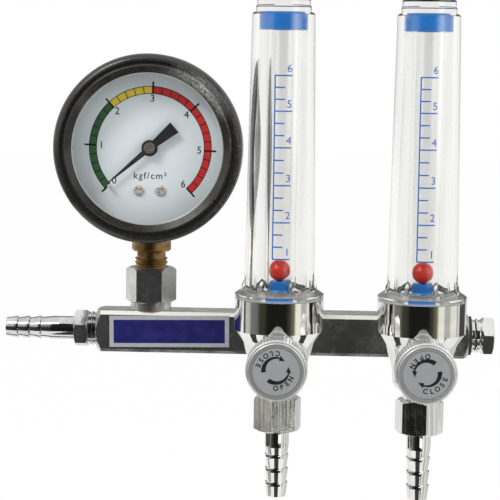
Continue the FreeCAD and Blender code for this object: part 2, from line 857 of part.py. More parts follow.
def make_sector():
    """toothed sector on its own arbor, with the tail that the link pushes"""
    outer = sector_pitch_radius + gear_module
    root = sector_pitch_radius - 1.25 * gear_module
    step = 360 / sector_full_teeth
    mesh_angle = sector_bearing_angle + 180
    first = mesh_angle - step * (sector_teeth - 1 - sector_teeth_above)
    points = [(0, 0)]
    for tooth in range(sector_teeth):
        points = points + tooth_points(sector_full_teeth, first + step * tooth, outer, root)
    fan = slab(points, gear_thickness, gear_level)
    low_angle = first + step
    high_angle = first + step * (sector_teeth - 2)
    inner = root - sector_rim_width
    middle = (low_angle + high_angle) / 2
    hub = sector_hub_radius + 1.2
    opening = slab([polar(hub, low_angle), polar(inner, low_angle),
                    (polar(inner, middle), polar(inner, high_angle)), polar(hub, high_angle),
                    (polar(hub, middle), polar(hub, low_angle))],
                   3 * gear_thickness, gear_level - gear_thickness)
    fan = fan.cut(opening)
    tail_end = polar(sector_tail_length, tail_angle)
    tail = long_plate((0, 0), tail_end, sector_tail_half, gear_thickness, gear_level)
    body = fan.fuse(tail).fuse(rod(sector_hub_radius, gear_level, gear_level + gear_thickness))
    body = body.fuse(rod(arbor_radius, rear_plate_level, front_plate_level + plate_thickness))
    body = body.fuse(pin_at(tail_end, link_pin_radius, gear_level, link_level + link_thickness))
    body = body.removeSplitter()
    pivot = polar(gear_distance, sector_bearing_angle)
    body.translate(vec(pivot[0], pivot[1], 0))
    return gauge_place(body)


def pillar_points():
    """the two pillars stand clear of the sector's sweep"""
    pivot = polar(gear_distance, sector_bearing_angle)
    return [(-plate_left + pillar_inset, -block_top + pillar_inset),
            (pivot[0] + 0.4 * pillar_radius, plate_top - 1.2 * pillar_inset)]


def plate_points(low):
    """outline of a movement plate down to a level"""
    x, y = polar(gear_distance, sector_bearing_angle)
    m = plate_margin
    return [(-plate_left, low), (plate_right, low), (x - 0.5 * m, y - m), (x + 0.8 * m, y - 0.6 * m),
            (x + m, y + 0.8 * m), (x + 1.15 * m, plate_top - 0.75 * m), (x + 0.1 * m, plate_top),
            (-0.7 * m, 0.9 * m), (-plate_left, 0.7 * m)]


def make_plate(level, low):
    """one of the two plates that the arbors turn in"""
    plate = slab(plate_points(low), plate_thickness, level)
    pivot = polar(gear_distance, sector_bearing_angle)
    for point in ((0, 0), pivot):
        hole = pin_at(point, arbor_radius + running_clearance, level - 1, level + plate_thickness + 1)
        plate = plate.cut(hole)
    return plate


def spring_stud_point():
    radius = spring_first_radius + spring_pitch * spring_turns + spring_thickness / 2
    return -radius - spring_stud_radius, 0.0


def make_rear_plate():
    """movement plate that goes down behind the stem's block, with the hairspring's stud"""
    plate = make_plate(rear_plate_level, -block_top - plate_tab)
    stud_low = rear_plate_level + plate_thickness / 2
    stud = pin_at(spring_stud_point(), spring_stud_radius, stud_low, spring_level + spring_width)
    plate = plate.fuse(stud).removeSplitter()
    return gauge_place(plate)


def make_front_plate():
    return gauge_place(make_plate(front_plate_level, -block_top + 0.3))


def make_pillars():
    low = rear_plate_level + plate_thickness
    pillars = [gauge_place(pin_at(point, pillar_radius, low, front_plate_level)) for point in pillar_points()]
    return Part.makeCompound(pillars)


def make_hairspring():
    """flat spiral of half circles about two centres, clear of the arbor and held at its stud"""
    half_pitch = spring_pitch / 2
    outer_edge = []
    inner_edge = []
    radius = spring_first_radius
    centre = 0.0
    x = radius
    side = 1
    for bend in range(2 * spring_turns):
        next_centre = x - side * radius
        top = (next_centre, side * radius)
        end = next_centre - side * radius
        outer_edge.append(((next_centre, side * (radius + spring_thickness / 2)),
                           (end - side * spring_thickness / 2, 0.0)))
        inner_edge.append(((next_centre, side * (radius - spring_thickness / 2)),
                           (end + side * spring_thickness / 2, 0.0)))
        x = end
        side = -side
        radius = radius + half_pitch
    start_outer = (spring_first_radius + spring_thickness / 2, 0.0)
    start_inner = (spring_first_radius - spring_thickness / 2, 0.0)
    points = [start_outer] + outer_edge + [inner_edge[-1][1]]
    back = []
    for k in range(len(inner_edge) - 1, -1, -1):
        target = inner_edge[k - 1][1] if k > 0 else start_inner
        back.append((inner_edge[k][0], target))
    spring = slab(points + back, spring_width, spring_level)
    spring.rotate(vec(0, 0, 0), UP, 180)
    return gauge_place(spring)


def make_flow_body():
    """cup for the tube's foot, funnel below it, rear boss for the nipple, front boss for the valve, spout"""
    waist_mid = (funnel_waist_radius + 0.1, (funnel_mid + funnel_waist) / 2 - 2.0)
    body = turned([(0, spout_end), (spout_radius, spout_end), (spout_radius, outlet_nut_top + 1.2),
                   (spout_radius, funnel_end - 0.9), (funnel_end_radius, funnel_end),
                   ((funnel_waist_radius - 0.5, funnel_waist - 2.4), (funnel_waist_radius, funnel_waist)),
                   (waist_mid, (funnel_mid_radius, funnel_mid)),
                   (funnel_shoulder_radius, funnel_shoulder), (cup_radius - 0.3, cup_bottom),
                   (cup_radius, cup_bottom + 0.4), (cup_radius, cup_top), (cup_radius - cup_wall, cup_top),
                   (cup_radius - cup_wall, cup_floor), (0, cup_floor)])
    boss = rod(nipple_boss_radius, 0, nipple_boss_reach)
    body = body.fuse(stand(boss, vec(0, 0, nipple_level), BACK))
    front = turned([(0, 0), (valve_boss_radius, 0), (valve_boss_radius, valve_boss_reach - 0.6),
                    (valve_boss_radius - 0.6, valve_boss_reach), (0, valve_boss_reach)])
    body = body.fuse(stand(front, vec(0, 0, valve_level), FRONT))
    post = rod(seat_disc_radius + 1.5, cup_floor - 1, seat_level)
    body = body.fuse(post).removeSplitter()
    body = body.cut(rod(seat_bore_radius, valve_level, seat_level + 1))
    nipple = nipple_thread_radius + thread_clearance
    deep = nipple_boss_reach - nipple_thread_length
    rear = deep - 2.5
    body = body.cut(stand(rod(nipple, deep, nipple_boss_reach + 1), vec(0, 0, nipple_level), BACK))
    body = body.cut(rod_between(vec(0, deep + 0.5, nipple_level), vec(0, rear, nipple_level), orifice_radius))
    body = body.cut(rod_between(vec(0, rear, nipple_level), vec(0, rear, valve_level), orifice_radius))
    body = body.cut(rod_between(vec(0, rear, valve_level), vec(0, 0, valve_level), orifice_radius))
    start = valve_boss_reach - bonnet_thread_length - seat_clearance
    bonnet = bonnet_thread_radius + thread_clearance
    body = body.cut(stand(rod(chamber_radius, -valve_seat_back, start + 1), vec(0, 0, valve_level), FRONT))
    body = body.cut(stand(rod(bonnet, start, valve_boss_reach + 1), vec(0, 0, valve_level), FRONT))
    return_x = cup_radius - cup_wall - 3.2
    way_in = vec(return_x, 0, cup_floor + 1)
    way_out = vec(1.5, 0, funnel_waist - 3.0)
    body = body.cut(rod_between(way_in, way_out, orifice_radius))
    body = body.cut(rod(barb_bore_radius, spout_end - 1, funnel_waist - 1.5))
    return body


def rod_between(first, second, radius):
    """cylinder from one point to another"""
    run = second.sub(first)
    return Part.makeCylinder(radius, run.Length, first, run)


def make_nipple():
    """double-ended threaded nipple between the bar and the unit, with a collar in the gap"""
    gap_start = bar_side / 2
    gap_end = unit_reach - nipple_boss_reach
    low = gap_start - nipple_thread_length + seat_clearance
    high = gap_end + nipple_thread_length - seat_clearance
    nipple = turned([(nipple_bore_radius, low), (nipple_thread_radius, low),
                     (nipple_thread_radius, gap_start), (nipple_collar_radius, gap_start),
                     (nipple_collar_radius, gap_end), (nipple_thread_radius, gap_end),
                     (nipple_thread_radius, high), (nipple_bore_radius, high)])
    return stand(nipple, vec(0, unit_reach, nipple_level), FRONT)


def make_ball_seat():
    """blue plug under the tube: a disc that the tube stands on and a post that the ball rests on"""
    high = seat_top
    disc = seat_level + seat_disc_height
    return turned([(seat_bore_radius, seat_level), (seat_disc_radius, seat_level), (seat_disc_radius, disc),
                   (seat_post_radius, disc), (seat_post_radius, high - 0.5), (seat_post_radius - 0.5, high),
                   (seat_bore_radius, high)])


def make_metering_tube():
    """clear tube with a bore that widens upwards"""
    return turned([(meter_bore_bottom, meter_bottom), (meter_outer_radius, meter_bottom),
                   (meter_outer_radius, meter_top), (meter_bore_top, meter_top)])


def make_ball():
    return Part.makeSphere(ball_radius, vec(0, 0, ball_rest))


def make_tube_cover():
    """clear tapered cover with a flanged foot, gusset ribs and a skirt that goes down into the cup"""
    skirt = cup_radius - cup_wall - seat_clearance
    inner_low = cover_bottom_radius - cover_wall
    inner_high = cover_top_radius - cover_wall
    cone = cover_foot_top + cover_cone_height
    cover = turned([(inner_low, cover_skirt_bottom), (skirt, cover_skirt_bottom), (skirt, cup_top),
                    (cover_foot_radius, cup_top), (cover_foot_radius, cover_foot_top - 0.4),
                    (cover_foot_radius - 0.5, cover_foot_top), (cover_bottom_radius + 0.9, cone),
                    (cover_bottom_radius, cone + 0.8), (cover_top_radius, cover_top - 0.6),
                    (cover_top_radius - 0.6, cover_top), (inner_high, cover_top)])
    root = inner_low + cover_wall / 3
    for k in range(rib_count):
        turn = 360 / rib_count * k + 17
        rib = Part.Face(outline([(root, cone - 0.8), (cover_bottom_radius + rib_reach, cone - 0.6),
                                 (cover_bottom_radius + rib_reach * 0.8, cone + rib_height * 0.4),
                                 (cover_bottom_radius - 0.3, cone + rib_height), (root, cone + rib_height)]))
        rib.rotate(vec(0, 0, 0), RIGHT, 90)
        rib = rib.extrude(vec(0, rib_width, 0))
        rib.translate(vec(0, -rib_width / 2, 0))
        rib.rotate(vec(0, 0, 0), UP, turn)
        cover = cover.fuse(rib)
    return cover.removeSplitter()


def make_cover_gasket():
    outer = cup_radius - cup_wall - seat_clearance
    return ring(outer - gasket_width, outer, cup_floor, cover_skirt_bottom)


def make_top_ring():
    """blue ring that centres the tube's top inside the cover"""
    bore = top_ring_bore_radius
    seat = meter_outer_radius + seat_clearance
    step = meter_top + seat_clearance
    return turned([(bore, step), (seat, step), (seat, top_ring_bottom),
                   (top_ring_radius, top_ring_bottom), (top_ring_radius, top_ring_top), (bore, top_ring_top)])


def make_top_cap():
    """clear stepped plug in the cover's top"""
    plug = cover_top_radius - cover_wall - seat_clearance
    low = cover_top - cap_plug_depth
    return turned([(0, low), (plug, low), (plug, cover_top), (cap_radius, cover_top),
                   (cap_radius, cap_step - cap_step_inset), (cap_step_radius, cap_step),
                   (cap_step_radius, cap_top - 0.4), (cap_step_radius - 0.4, cap_top), (0, cap_top)])


def make_bonnet():
    """square gland that closes the valve's chamber: guide bore in front, wider bore for the seal behind"""
    start = valve_boss_reach - bonnet_thread_length
    front = valve_boss_reach + bonnet_head
    half = bonnet_flats / 2
    cut = half - bonnet_corner
    head = slab([(cut, -half), (half, -cut), (half, cut), (cut, half), (-cut, half), (-half, cut),
                 (-half, -cut), (-cut, -half)], bonnet_head, valve_boss_reach)
    bonnet = head.fuse(rod(bonnet_thread_radius, start, valve_boss_reach)).removeSplitter()
    bonnet = bonnet.cut(rod(spindle_radius + running_clearance, start - 1, front + 1))
    bonnet = bonnet.cut(rod(seal_outer_radius + running_clearance, start - 1, front - bonnet_front_wall))
    return stand(bonnet, vec(0, 0, valve_level), FRONT)


def seal_place():
    """where the seal's groove starts, forward from the unit's axis"""
    return spindle_collar_start + spindle_collar_length


def make_spindle():
    """needle, stem, two collars that hold the seal, and the end that the knob is fixed on"""
    tip = -valve_seat_back - needle_tip_length
    seated = orifice_radius - running_clearance
    slope = (seated - needle_tip_radius) / needle_tip_length
    needle_end = tip + needle_length
    groove = seal_place()
    groove_end = groove + seal_length + 2 * running_clearance
    last_collar = groove_end + spindle_collar_length
    end = knob_back + knob_bore_depth - seat_clearance
    spindle = turned([(0, tip), (needle_tip_radius, tip),
                      (needle_tip_radius + slope * needle_length, needle_end),
                      (spindle_stem_radius, needle_end), (spindle_stem_radius, spindle_collar_start),
                      (spindle_collar_radius, spindle_collar_start), (spindle_collar_radius, groove),
                      (spindle_stem_radius, groove), (spindle_stem_radius, groove_end),
                      (spindle_collar_radius, groove_end), (spindle_collar_radius, last_collar),
                      (spindle_radius, last_collar), (spindle_radius, end), (0, end)])
    return stand(spindle, vec(0, 0, valve_level), FRONT)


def make_spindle_seal():
    low = seal_place() + running_clearance
    seal = ring(spindle_stem_radius + running_clearance, seal_outer_radius, low, low + seal_length)
    return stand(seal, vec(0, 0, valve_level), FRONT)


def make_knob():
    """straight-knurled knob with a plain ring in front and a recess for its disc"""
    edge = knob_front - knob_edge_rounding
    rim = knob_ring_radius - knob_edge_rounding
    bend = knob_edge_rounding * math.sqrt(0.5)
    knurl_end = knob_front - knob_ring_length
    recess_radius = knob_disc_radius + seat_clearance
    recess = knob_front - knob_disc_recess
    body = turned([(0, knob_back), (knob_radius - knob_chamfer, knob_back),
                   (knob_radius, knob_back + knob_chamfer), (knob_radius, knurl_end - knob_chamfer),
                   (knob_radius - knob_chamfer, knurl_end), (knob_ring_radius, knurl_end),
                   (knob_ring_radius, edge), ((rim + bend, edge + bend), (rim, knob_front)),
                   (recess_radius, knob_front), (recess_radius, recess), (0, recess)])
    half = 180 / knurl_count * 0.8
    over = knob_radius + knurl_depth
    cutter = slab([polar(knob_radius - knurl_depth, 0), polar(over, half), polar(over, -half)],
                  knurl_end - knob_back + 1, knob_back - 1)
    cutters = []
    for k in range(knurl_count):
        groove = cutter.copy()
        groove.rotate(vec(0, 0, 0), UP, 360 / knurl_count * k)
        cutters.append(groove)
    body = body.cut(Part.makeCompound(cutters))
    body = body.cut(rod(spindle_radius + running_clearance, knob_back - 1, knob_back + knob_bore_depth))
    return stand(body, vec(0, 0, valve_level), FRONT)


def make_knob_disc():
    low = knob_front - knob_disc_recess
    return stand(rod(knob_disc_radius, low, low + knob_disc_thickness), vec(0, 0, valve_level), FRONT)


def make_outlet_nut():
    """hex nut that holds the hose tail up against the spout, a corner to the front"""
    nut = hexagon(outlet_nut_flats, outlet_nut_height, 30)
    nut.translate(vec(0, 0, outlet_nut_bottom))
    lip = outlet_nut_bottom + outlet_lip
    nut = nut.cut(rod(spout_radius + thread_clearance, lip, outlet_nut_top + 1))
    return nut.cut(rod(outlet_shank_radius + seat_clearance, outlet_nut_bottom - 1, lip + 1))


def make_outlet_barb():
    """hose tail: a flange held in the nut, then the barbed stem below it"""
    flange_top = -spout_end
    flange_end = -outlet_nut_bottom - outlet_lip
    shank_end = -outlet_nut_bottom + outlet_shank_length
    neck_end = shank_end + outlet_neck_length
    flange = spout_radius - seat_clearance
    relief = outlet_shank_radius - outlet_relief
    points = [(barb_bore_radius, flange_top), (flange, flange_top), (flange, flange_end),
              (relief, flange_end), (relief, -outlet_nut_bottom), (outlet_shank_radius, -outlet_nut_bottom),
              (outlet_shank_radius, shank_end), (outlet_neck_radius, neck_end)]
    return stand(turned(points + barb_profile(neck_end, outlet_barb_pitch)), vec(0, 0, 0), DOWN)


unit_makers = {
    "flow_body": make_flow_body,
    "inlet_nipple": make_nipple,
    "ball_seat": make_ball_seat,
    "metering_tube": make_metering_tube,
    "float_ball": make_ball,
    "tube_cover": make_tube_cover,
    "cover_gasket": make_cover_gasket,
    "top_ring": make_top_ring,
    "top_cap": make_top_cap,
    "valve_bonnet": make_bonnet,
    "valve_spindle": make_spindle,
    "spindle_seal": make_spindle_seal,
    "knob": make_knob,
    "knob_disc": make_knob_disc,
    "outlet_nut": make_outlet_nut,
    "outlet_barb": make_outlet_barb,
}

manifold_makers = {
    "manifold_bar": make_bar,
    "label_plate": make_label,
    "inlet_barb": make_inlet_barb,
    "end_plug": make_end_plug,
    "plug_ring": make_plug_ring,
    "gauge_adapter": make_adapter,
    "gauge_stem": make_stem,
    "gauge_case": make_case,
    "gauge_bezel": make_bezel,
    "gauge_window": make_window,
    "window_seal": make_window_seal,
    "gauge_dial": make_dial,
    "dial_screws": make_dial_screws,
    "gauge_pointer": make_pointer,
    "pointer_bush": make_pointer_bush,
    "pointer_stop": make_pointer_stop,
    "bourdon_tube": make_bourdon_tube,
    "tube_tip": make_tube_tip,
    "movement_link": make_link,
    "pinion_arbor": make_pinion_arbor,
    "sector_gear": make_sector,
    "movement_rear_plate": make_rear_plate,
    "movement_front_plate": make_front_plate,
    "movement_pillars": make_pillars,
    "hairspring": make_hairspring,
}

os.makedirs("parts", exist_ok=True)
for node, maker in manifold_makers.items():
    save(maker(), node)
for piece, maker in unit_makers.items():
    model = maker()
    for side, x in unit_xs.items():
        copy = model.copy()
        if piece == "outlet_nut":
            copy.rotate(vec(0, 0, 0), UP, outlet_nut_turns[side])
        copy.translate(vec(x, unit_y, 0))
        save(copy, side + "_" + piece)
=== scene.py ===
# %% [markdown]
# A twin oxygen flowmeter: a square chromed bar, a pressure gauge on top and two clear flow tubes in front.
# The CAD model is loaded first. It already has every piece in its place, in metres, so this script only
# gives the pieces their finishes, prints the dial, the scales and the knobs, and lights the whole like a
# studio photo.

# %% Load the CAD frame
import json
import math

import bmesh
import bpy
from mathutils import Matrix, Vector


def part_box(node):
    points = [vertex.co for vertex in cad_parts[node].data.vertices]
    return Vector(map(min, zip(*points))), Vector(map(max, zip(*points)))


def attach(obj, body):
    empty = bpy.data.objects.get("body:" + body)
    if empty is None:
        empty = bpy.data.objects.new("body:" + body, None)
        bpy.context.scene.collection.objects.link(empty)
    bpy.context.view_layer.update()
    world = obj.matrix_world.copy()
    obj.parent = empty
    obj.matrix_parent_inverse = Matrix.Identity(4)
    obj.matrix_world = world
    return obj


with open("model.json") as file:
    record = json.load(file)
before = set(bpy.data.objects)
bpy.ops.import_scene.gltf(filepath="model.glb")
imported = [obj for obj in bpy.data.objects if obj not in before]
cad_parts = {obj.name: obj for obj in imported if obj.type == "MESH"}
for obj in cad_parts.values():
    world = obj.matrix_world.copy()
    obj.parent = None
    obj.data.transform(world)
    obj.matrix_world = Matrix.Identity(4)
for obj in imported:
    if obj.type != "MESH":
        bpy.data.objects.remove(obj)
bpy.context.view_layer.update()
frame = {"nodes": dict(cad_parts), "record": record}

nodes = frame["nodes"]
MM = 0.001
print("pieces in the frame:", len(nodes))

# %% [markdown]
# The camera stands 0.6 m in front of the bar and a little above it, and it looks down by about six degrees.
# These angles come from a fit to the photograph, with a lens of 119 mm on a 36 mm sensor, so the tubes lean
# together only slightly. The small roll is the photographer's own.

# %% Camera
def make_camera(place, yaw, pitch, roll, lens):
    """A camera that looks along +Y, turned by yaw, tipped down by pitch and rolled, in degrees."""
    ya, pi, ro = (math.radians(v) for v in (yaw, pitch, roll))
    ahead = Vector((math.sin(ya) * math.cos(pi), math.cos(ya) * math.cos(pi), -math.sin(pi)))
    across = Vector((math.cos(ya), -math.sin(ya), 0))
    above = across.cross(ahead)
    right = across * math.cos(ro) + above * math.sin(ro)
    up = above * math.cos(ro) - across * math.sin(ro)
    data = bpy.data.cameras.new("camera")
    data.lens = lens
    data.sensor_width = 36
    camera = bpy.data.objects.new("camera", data)
    turn = Matrix((right, up, -ahead)).transposed().to_4x4()
    camera.matrix_world = Matrix.Translation(place) @ turn
    bpy.context.scene.collection.objects.link(camera)
    return camera


CAMERA_PLACE = Vector((0.00917, -0.60594, 0.0916))
camera = make_camera(CAMERA_PLACE, yaw=-2.05, pitch=5.88, roll=0.85, lens=118.8)
camera.data.clip_end = 30
bpy.context.scene.camera = camera
print("camera lens:", camera.data.lens)

# %% [markdown]
# Materials and patterns are small trees of nodes here, so a few helpers make the nodes, the wires between
# them and the sockets of a group. A Mix node's inputs go by number: 0 is the factor, 2 and 3 are its two
# values, and 6 and 7 its two colours.

# %% Node helpers
def new_tree(material_or_world):
    """An empty node tree for a material or a world."""
    material_or_world.use_nodes = True
    tree = material_or_world.node_tree
    tree.nodes.clear()
    return tree


def add(tree, kind, values=None, **settings):
    """A node with its settings, and its inputs set by name or number."""
    node = tree.nodes.new(kind)
    for name, value in settings.items():
        setattr(node, name, value)
    for key, value in (values or {}).items():
        node.inputs[key].default_value = value
    return node


def join(tree, source, output, target, entry):
    """Wires one node's output to another node's input."""
    tree.links.new(source.outputs[output], target.inputs[entry])


def add_sockets(tree, in_out, kinds):
    """Gives a node group its named inputs or outputs, each with its kind of socket."""
    for name, kind in kinds.items():
        tree.interface.new_socket(name, in_out=in_out, socket_type="NodeSocket" + kind)


# %% [markdown]
# The photograph has a pure white ground. The world and the floor are white to whatever looks at them
# straight, through clear plastic or in a mirror, and a little darker as a source of soft light, so that
# shapes keep their shading.

# %% World
def seen_straight(tree):
    """1 where the camera, a mirror or clear plastic looks, and 0 for soft light and shadows."""
    ray = add(tree, "ShaderNodeLightPath")
    seen = add(tree, "ShaderNodeMath", operation="MAXIMUM")
    seen_too = add(tree, "ShaderNodeMath", operation="MAXIMUM")
    join(tree, ray, "Is Camera Ray", seen, 0)
    join(tree, ray, "Is Glossy Ray", seen, 1)
    join(tree, seen, 0, seen_too, 0)
    join(tree, ray, "Is Transmission Ray", seen_too, 1)
    return seen_too


def white_world(soft_light):
    """White to look at, and weaker as soft light."""
    world = bpy.data.worlds.new("studio")
    bpy.context.scene.world = world
    tree = new_tree(world)
    level = add(tree, "ShaderNodeMapRange", {"To Min": soft_light, "To Max": 1.0})
    sky = add(tree, "ShaderNodeBackground", {"Color": (1, 1, 1, 1)})
    end = add(tree, "ShaderNodeOutputWorld")
    join(tree, seen_straight(tree), 0, level, "Value")
    join(tree, level, "Result", sky, "Strength")
    join(tree, sky, "Background", end, "Surface")
    return world


print("world:", white_world(soft_light=0.62).name)


# %% Floor
FLOOR_Z, FLOOR_HALF = -0.3, 8.0
FLOOR_GLOW, FLOOR_GLOW_SHARE = 1.035, 0.9


def floor_material():
    """Pale paint that looks almost like white light, so that the floor meets the world without a line."""
    material = bpy.data.materials.new("pale_floor")
    tree = new_tree(material)
    share = add(tree, "ShaderNodeMapRange", {"To Min": 0.0, "To Max": FLOOR_GLOW_SHARE})
    paint = add(tree, "ShaderNodeBsdfPrincipled", {"Base Color": (0.9, 0.9, 0.9, 1), "Roughness": 0.8})
    glow = add(tree, "ShaderNodeEmission", {"Color": (1, 1, 1, 1), "Strength": FLOOR_GLOW})
    mix = add(tree, "ShaderNodeMixShader")
    end = add(tree, "ShaderNodeOutputMaterial")
    join(tree, seen_straight(tree), 0, share, "Value")
    join(tree, share, "Result", mix, 0)
    join(tree, paint, 0, mix, 1)
    join(tree, glow, 0, mix, 2)
    join(tree, mix, 0, end, "Surface")
    return material


def level_corners(half, front, back, z):
    """The corners of a level sheet that reaches half to each side and from front to back."""
    return [(-half, front, z), (half, front, z), (half, back, z), (-half, back, z)]


def sheet(name, corners, material):
    """One four-cornered face, linked to the scene."""
    mesh = bpy.data.meshes.new(name)
    mesh.from_pydata(corners, [], [(0, 1, 2, 3)])
    mesh.materials.append(material)
    made = bpy.data.objects.new(name, mesh)
    bpy.context.scene.collection.objects.link(made)
    return made


floor = sheet("floor", level_corners(FLOOR_HALF, -FLOOR_HALF, FLOOR_HALF, FLOOR_Z), floor_material())
print("floor at", FLOOR_Z)

# %% [markdown]
# Chrome shows the room, not itself. A product photographer works in a white tent with dark strips on it, so
# that a turned piece gets crisp dark and light streaks instead of a flat grey. The tent here is one round
# wall half a metre away. One colour ramp paints its strips by the compass angle, and a second one takes
# over higher up, for the gauge's ring and the tubes. Only mirrors and clear plastic can see the tent: the
# camera, the shadows and the soft light pass through it. What clear plastic sees behind the object is
# nearly white, so that it looks clear.

# %% Reflection tent
TENT_RADIUS, TENT_TOP, TENT_GAP, TENT_STEPS = 0.5, 0.5, 0.005, 120
TENT_FADE_LOW, TENT_FADE_HIGH, TENT_FADE_LEFT = 0.03, 0.08, 0.12
TENT_THROUGH = 0.85
OLIVE, CREAM, PLAIN = (0.95, 1.0, 0.68), (1.0, 1.0, 0.84), (1.0, 1.0, 0.98)
TENT_PAINT = (
    (-180, 0.85, PLAIN), (-138, 0.95, PLAIN), (-99, 0.95, PLAIN), (-96, 0.06, PLAIN), (-91, 0.1, PLAIN),
    (-88, 0.6, CREAM), (-76, 0.52, CREAM), (-70, 0.2, PLAIN), (-54, 0.17, PLAIN), (-46, 0.055, OLIVE),
    (-35, 0.045, OLIVE), (-25, 0.012, PLAIN), (18, 0.012, PLAIN), (28, 0.06, OLIVE), (38, 0.2, OLIVE),
    (43, 0.95, CREAM), (54, 0.95, CREAM), (58, 0.5, PLAIN), (70, 0.52, PLAIN), (74, 0.88, CREAM),
    (90, 0.88, PLAIN), (94, 0.4, PLAIN), (98, 0.75, PLAIN), (140, 0.62, PLAIN), (180, 0.85, PLAIN))
TENT_UPPER = (
    (-180, 0.24, PLAIN), (-150, 0.26, PLAIN), (-120, 1.0, PLAIN), (-45, 1.0, PLAIN), (-29, 0.02, PLAIN),
    (24, 0.02, PLAIN), (34, 1.0, PLAIN), (44, 3.0, PLAIN), (58, 3.0, PLAIN), (66, 1.0, PLAIN),
    (120, 1.0, PLAIN), (150, 0.26, PLAIN), (180, 0.24, PLAIN))


def painted_ramp(tree, stops_wanted):
    """A colour ramp whose stops are compass angles in degrees, each with a light level and a tint."""
    ramp = add(tree, "ShaderNodeValToRGB")
    stops = ramp.color_ramp.elements
    while len(stops) < len(stops_wanted):
        stops.new(0.5)
    for stop, (degrees, light, tint) in zip(stops, stops_wanted):
        stop.position = (degrees + 180) / 360
        stop.color = (*(light * share for share in tint), 1)
    return ramp


def tent_material():
    """Light by the compass angle: 0 is the user's side and the right is positive."""
    material = bpy.data.materials.new("tent_paint")
    tree = new_tree(material)
    place = add(tree, "ShaderNodeTexCoord")
    split = add(tree, "ShaderNodeSeparateXYZ")
    front = add(tree, "ShaderNodeMath", {1: -1.0}, operation="MULTIPLY")
    angle = add(tree, "ShaderNodeMath", operation="ARCTAN2")
    share = add(tree, "ShaderNodeMapRange", {"From Min": -math.pi, "From Max": math.pi})
    lower = painted_ramp(tree, TENT_PAINT)
    upper = painted_ramp(tree, TENT_UPPER)
    height = add(tree, "ShaderNodeMapRange", {"From Min": TENT_FADE_LOW, "From Max": TENT_FADE_HIGH,
                                              "To Min": 1.0, "To Max": TENT_FADE_LEFT})
    colour = add(tree, "ShaderNodeMix", data_type="RGBA")
    ray = add(tree, "ShaderNodeLightPath")
    behind = add(tree, "ShaderNodeMath", {1: 0.0}, operation="GREATER_THAN")
    through = add(tree, "ShaderNodeMath", operation="MULTIPLY")
    some = add(tree, "ShaderNodeMath", {1: TENT_THROUGH}, operation="MULTIPLY")
    paler = add(tree, "ShaderNodeMix", {7: (1, 1, 1, 1)}, data_type="RGBA")
    glow = add(tree, "ShaderNodeEmission")
    out = add(tree, "ShaderNodeOutputMaterial")
    join(tree, place, "Object", split, 0)
    join(tree, split, "Y", front, 0)
    join(tree, split, "X", angle, 0)
    join(tree, front, 0, angle, 1)
    join(tree, angle, 0, share, "Value")
    join(tree, share, "Result", lower, 0)
    join(tree, share, "Result", upper, 0)
    join(tree, split, "Z", height, "Value")
    join(tree, height, "Result", colour, 0)
    join(tree, upper, 0, colour, 6)
    join(tree, lower, 0, colour, 7)
    join(tree, split, "Y", behind, 0)
    join(tree, ray, "Is Transmission Ray", through, 0)
    join(tree, behind, 0, through, 1)
    join(tree, through, 0, some, 0)
    join(tree, some, 0, paler, 0)
    join(tree, colour, 2, paler, 6)
    join(tree, paler, 2, glow, 0)
    join(tree, glow, 0, out, 0)
    return material


def only_for_mirrors(card):
    """Hides a card of the tent from the camera, from soft light and from shadows."""
    card.visible_camera = False
    card.visible_diffuse = False
    card.visible_shadow = False


def on_circle(radius, angle):
    """A point round the object by its compass angle in radians."""
    return radius * math.sin(angle), -radius * math.cos(angle)


def make_tent():
    """The round wall, open at the top and just clear of the floor."""
    verts, faces = [], []
    for k in range(TENT_STEPS):
        x, y = on_circle(TENT_RADIUS, 2 * math.pi * k / TENT_STEPS)
        verts += [(x, y, FLOOR_Z + TENT_GAP), (x, y, TENT_TOP)]
        n = (k + 1) % TENT_STEPS
        faces.append((2 * k, 2 * n, 2 * n + 1, 2 * k + 1))
    mesh = bpy.data.meshes.new("tent")
    mesh.from_pydata(verts, [], faces)
    mesh.materials.append(tent_material())
    tent = bpy.data.objects.new("tent", mesh)
    bpy.context.scene.collection.objects.link(tent)
    only_for_mirrors(tent)


make_tent()
print("tent strips:", len(TENT_PAINT), "low,", len(TENT_UPPER), "high")

# %% [markdown]
# Five small cards finish the tent. Two dark ones lie on the floor and darken what faces down. One bright
# and one dark card stand low, where only the outlet nuts mirror them, and one dark card gives each cup a
# dark streak.

# %% Reflection cards
CARD_LIFT, CARD_RADIUS = 0.01, 0.48


def make_card(name, corners, light):
    """A small glowing sheet that only mirrors see."""
    material = bpy.data.materials.new(name + "_paint")
    tree = new_tree(material)
    glow = add(tree, "ShaderNodeEmission", {"Color": (light, light, light, 1)})
    end = add(tree, "ShaderNodeOutputMaterial")
    join(tree, glow, 0, end, 0)
    card = sheet(name, corners, material)
    only_for_mirrors(card)
    card.visible_transmission = False


def floor_card(name, half, front, back, light):
    """A card lying just over the floor."""
    make_card(name, level_corners(half, front, back, FLOOR_Z + CARD_LIFT), light)


def wall_card(name, start, end, low, high, light):
    """A card standing just inside the tent, between two compass angles in degrees."""
    (x0, y0), (x1, y1) = [on_circle(CARD_RADIUS, math.radians(turn)) for turn in (start, end)]
    make_card(name, [(x0, y0, low), (x1, y1, low), (x1, y1, high), (x0, y0, high)], light)


floor_card("low_card_front", half=0.17, front=-0.49, back=-0.11, light=0.05)
floor_card("low_card_under", half=0.25, front=0.005, back=0.09, light=0.05)
wall_card("nut_card", start=14, end=38, low=-0.192, high=-0.14, light=1.5)
wall_card("nut_side_card", start=-128, end=-66, low=-0.2, high=-0.13, light=0.08)
wall_card("cup_card", start=103, end=134, low=-0.1, high=-0.04, light=0.07)

# %% [markdown]
# Two soft lamps shape what doesn't mirror: the ring, the dial, the knobs' print and the balls. The stronger
# one stands at the upper left, and the other fills the shadows from the right.

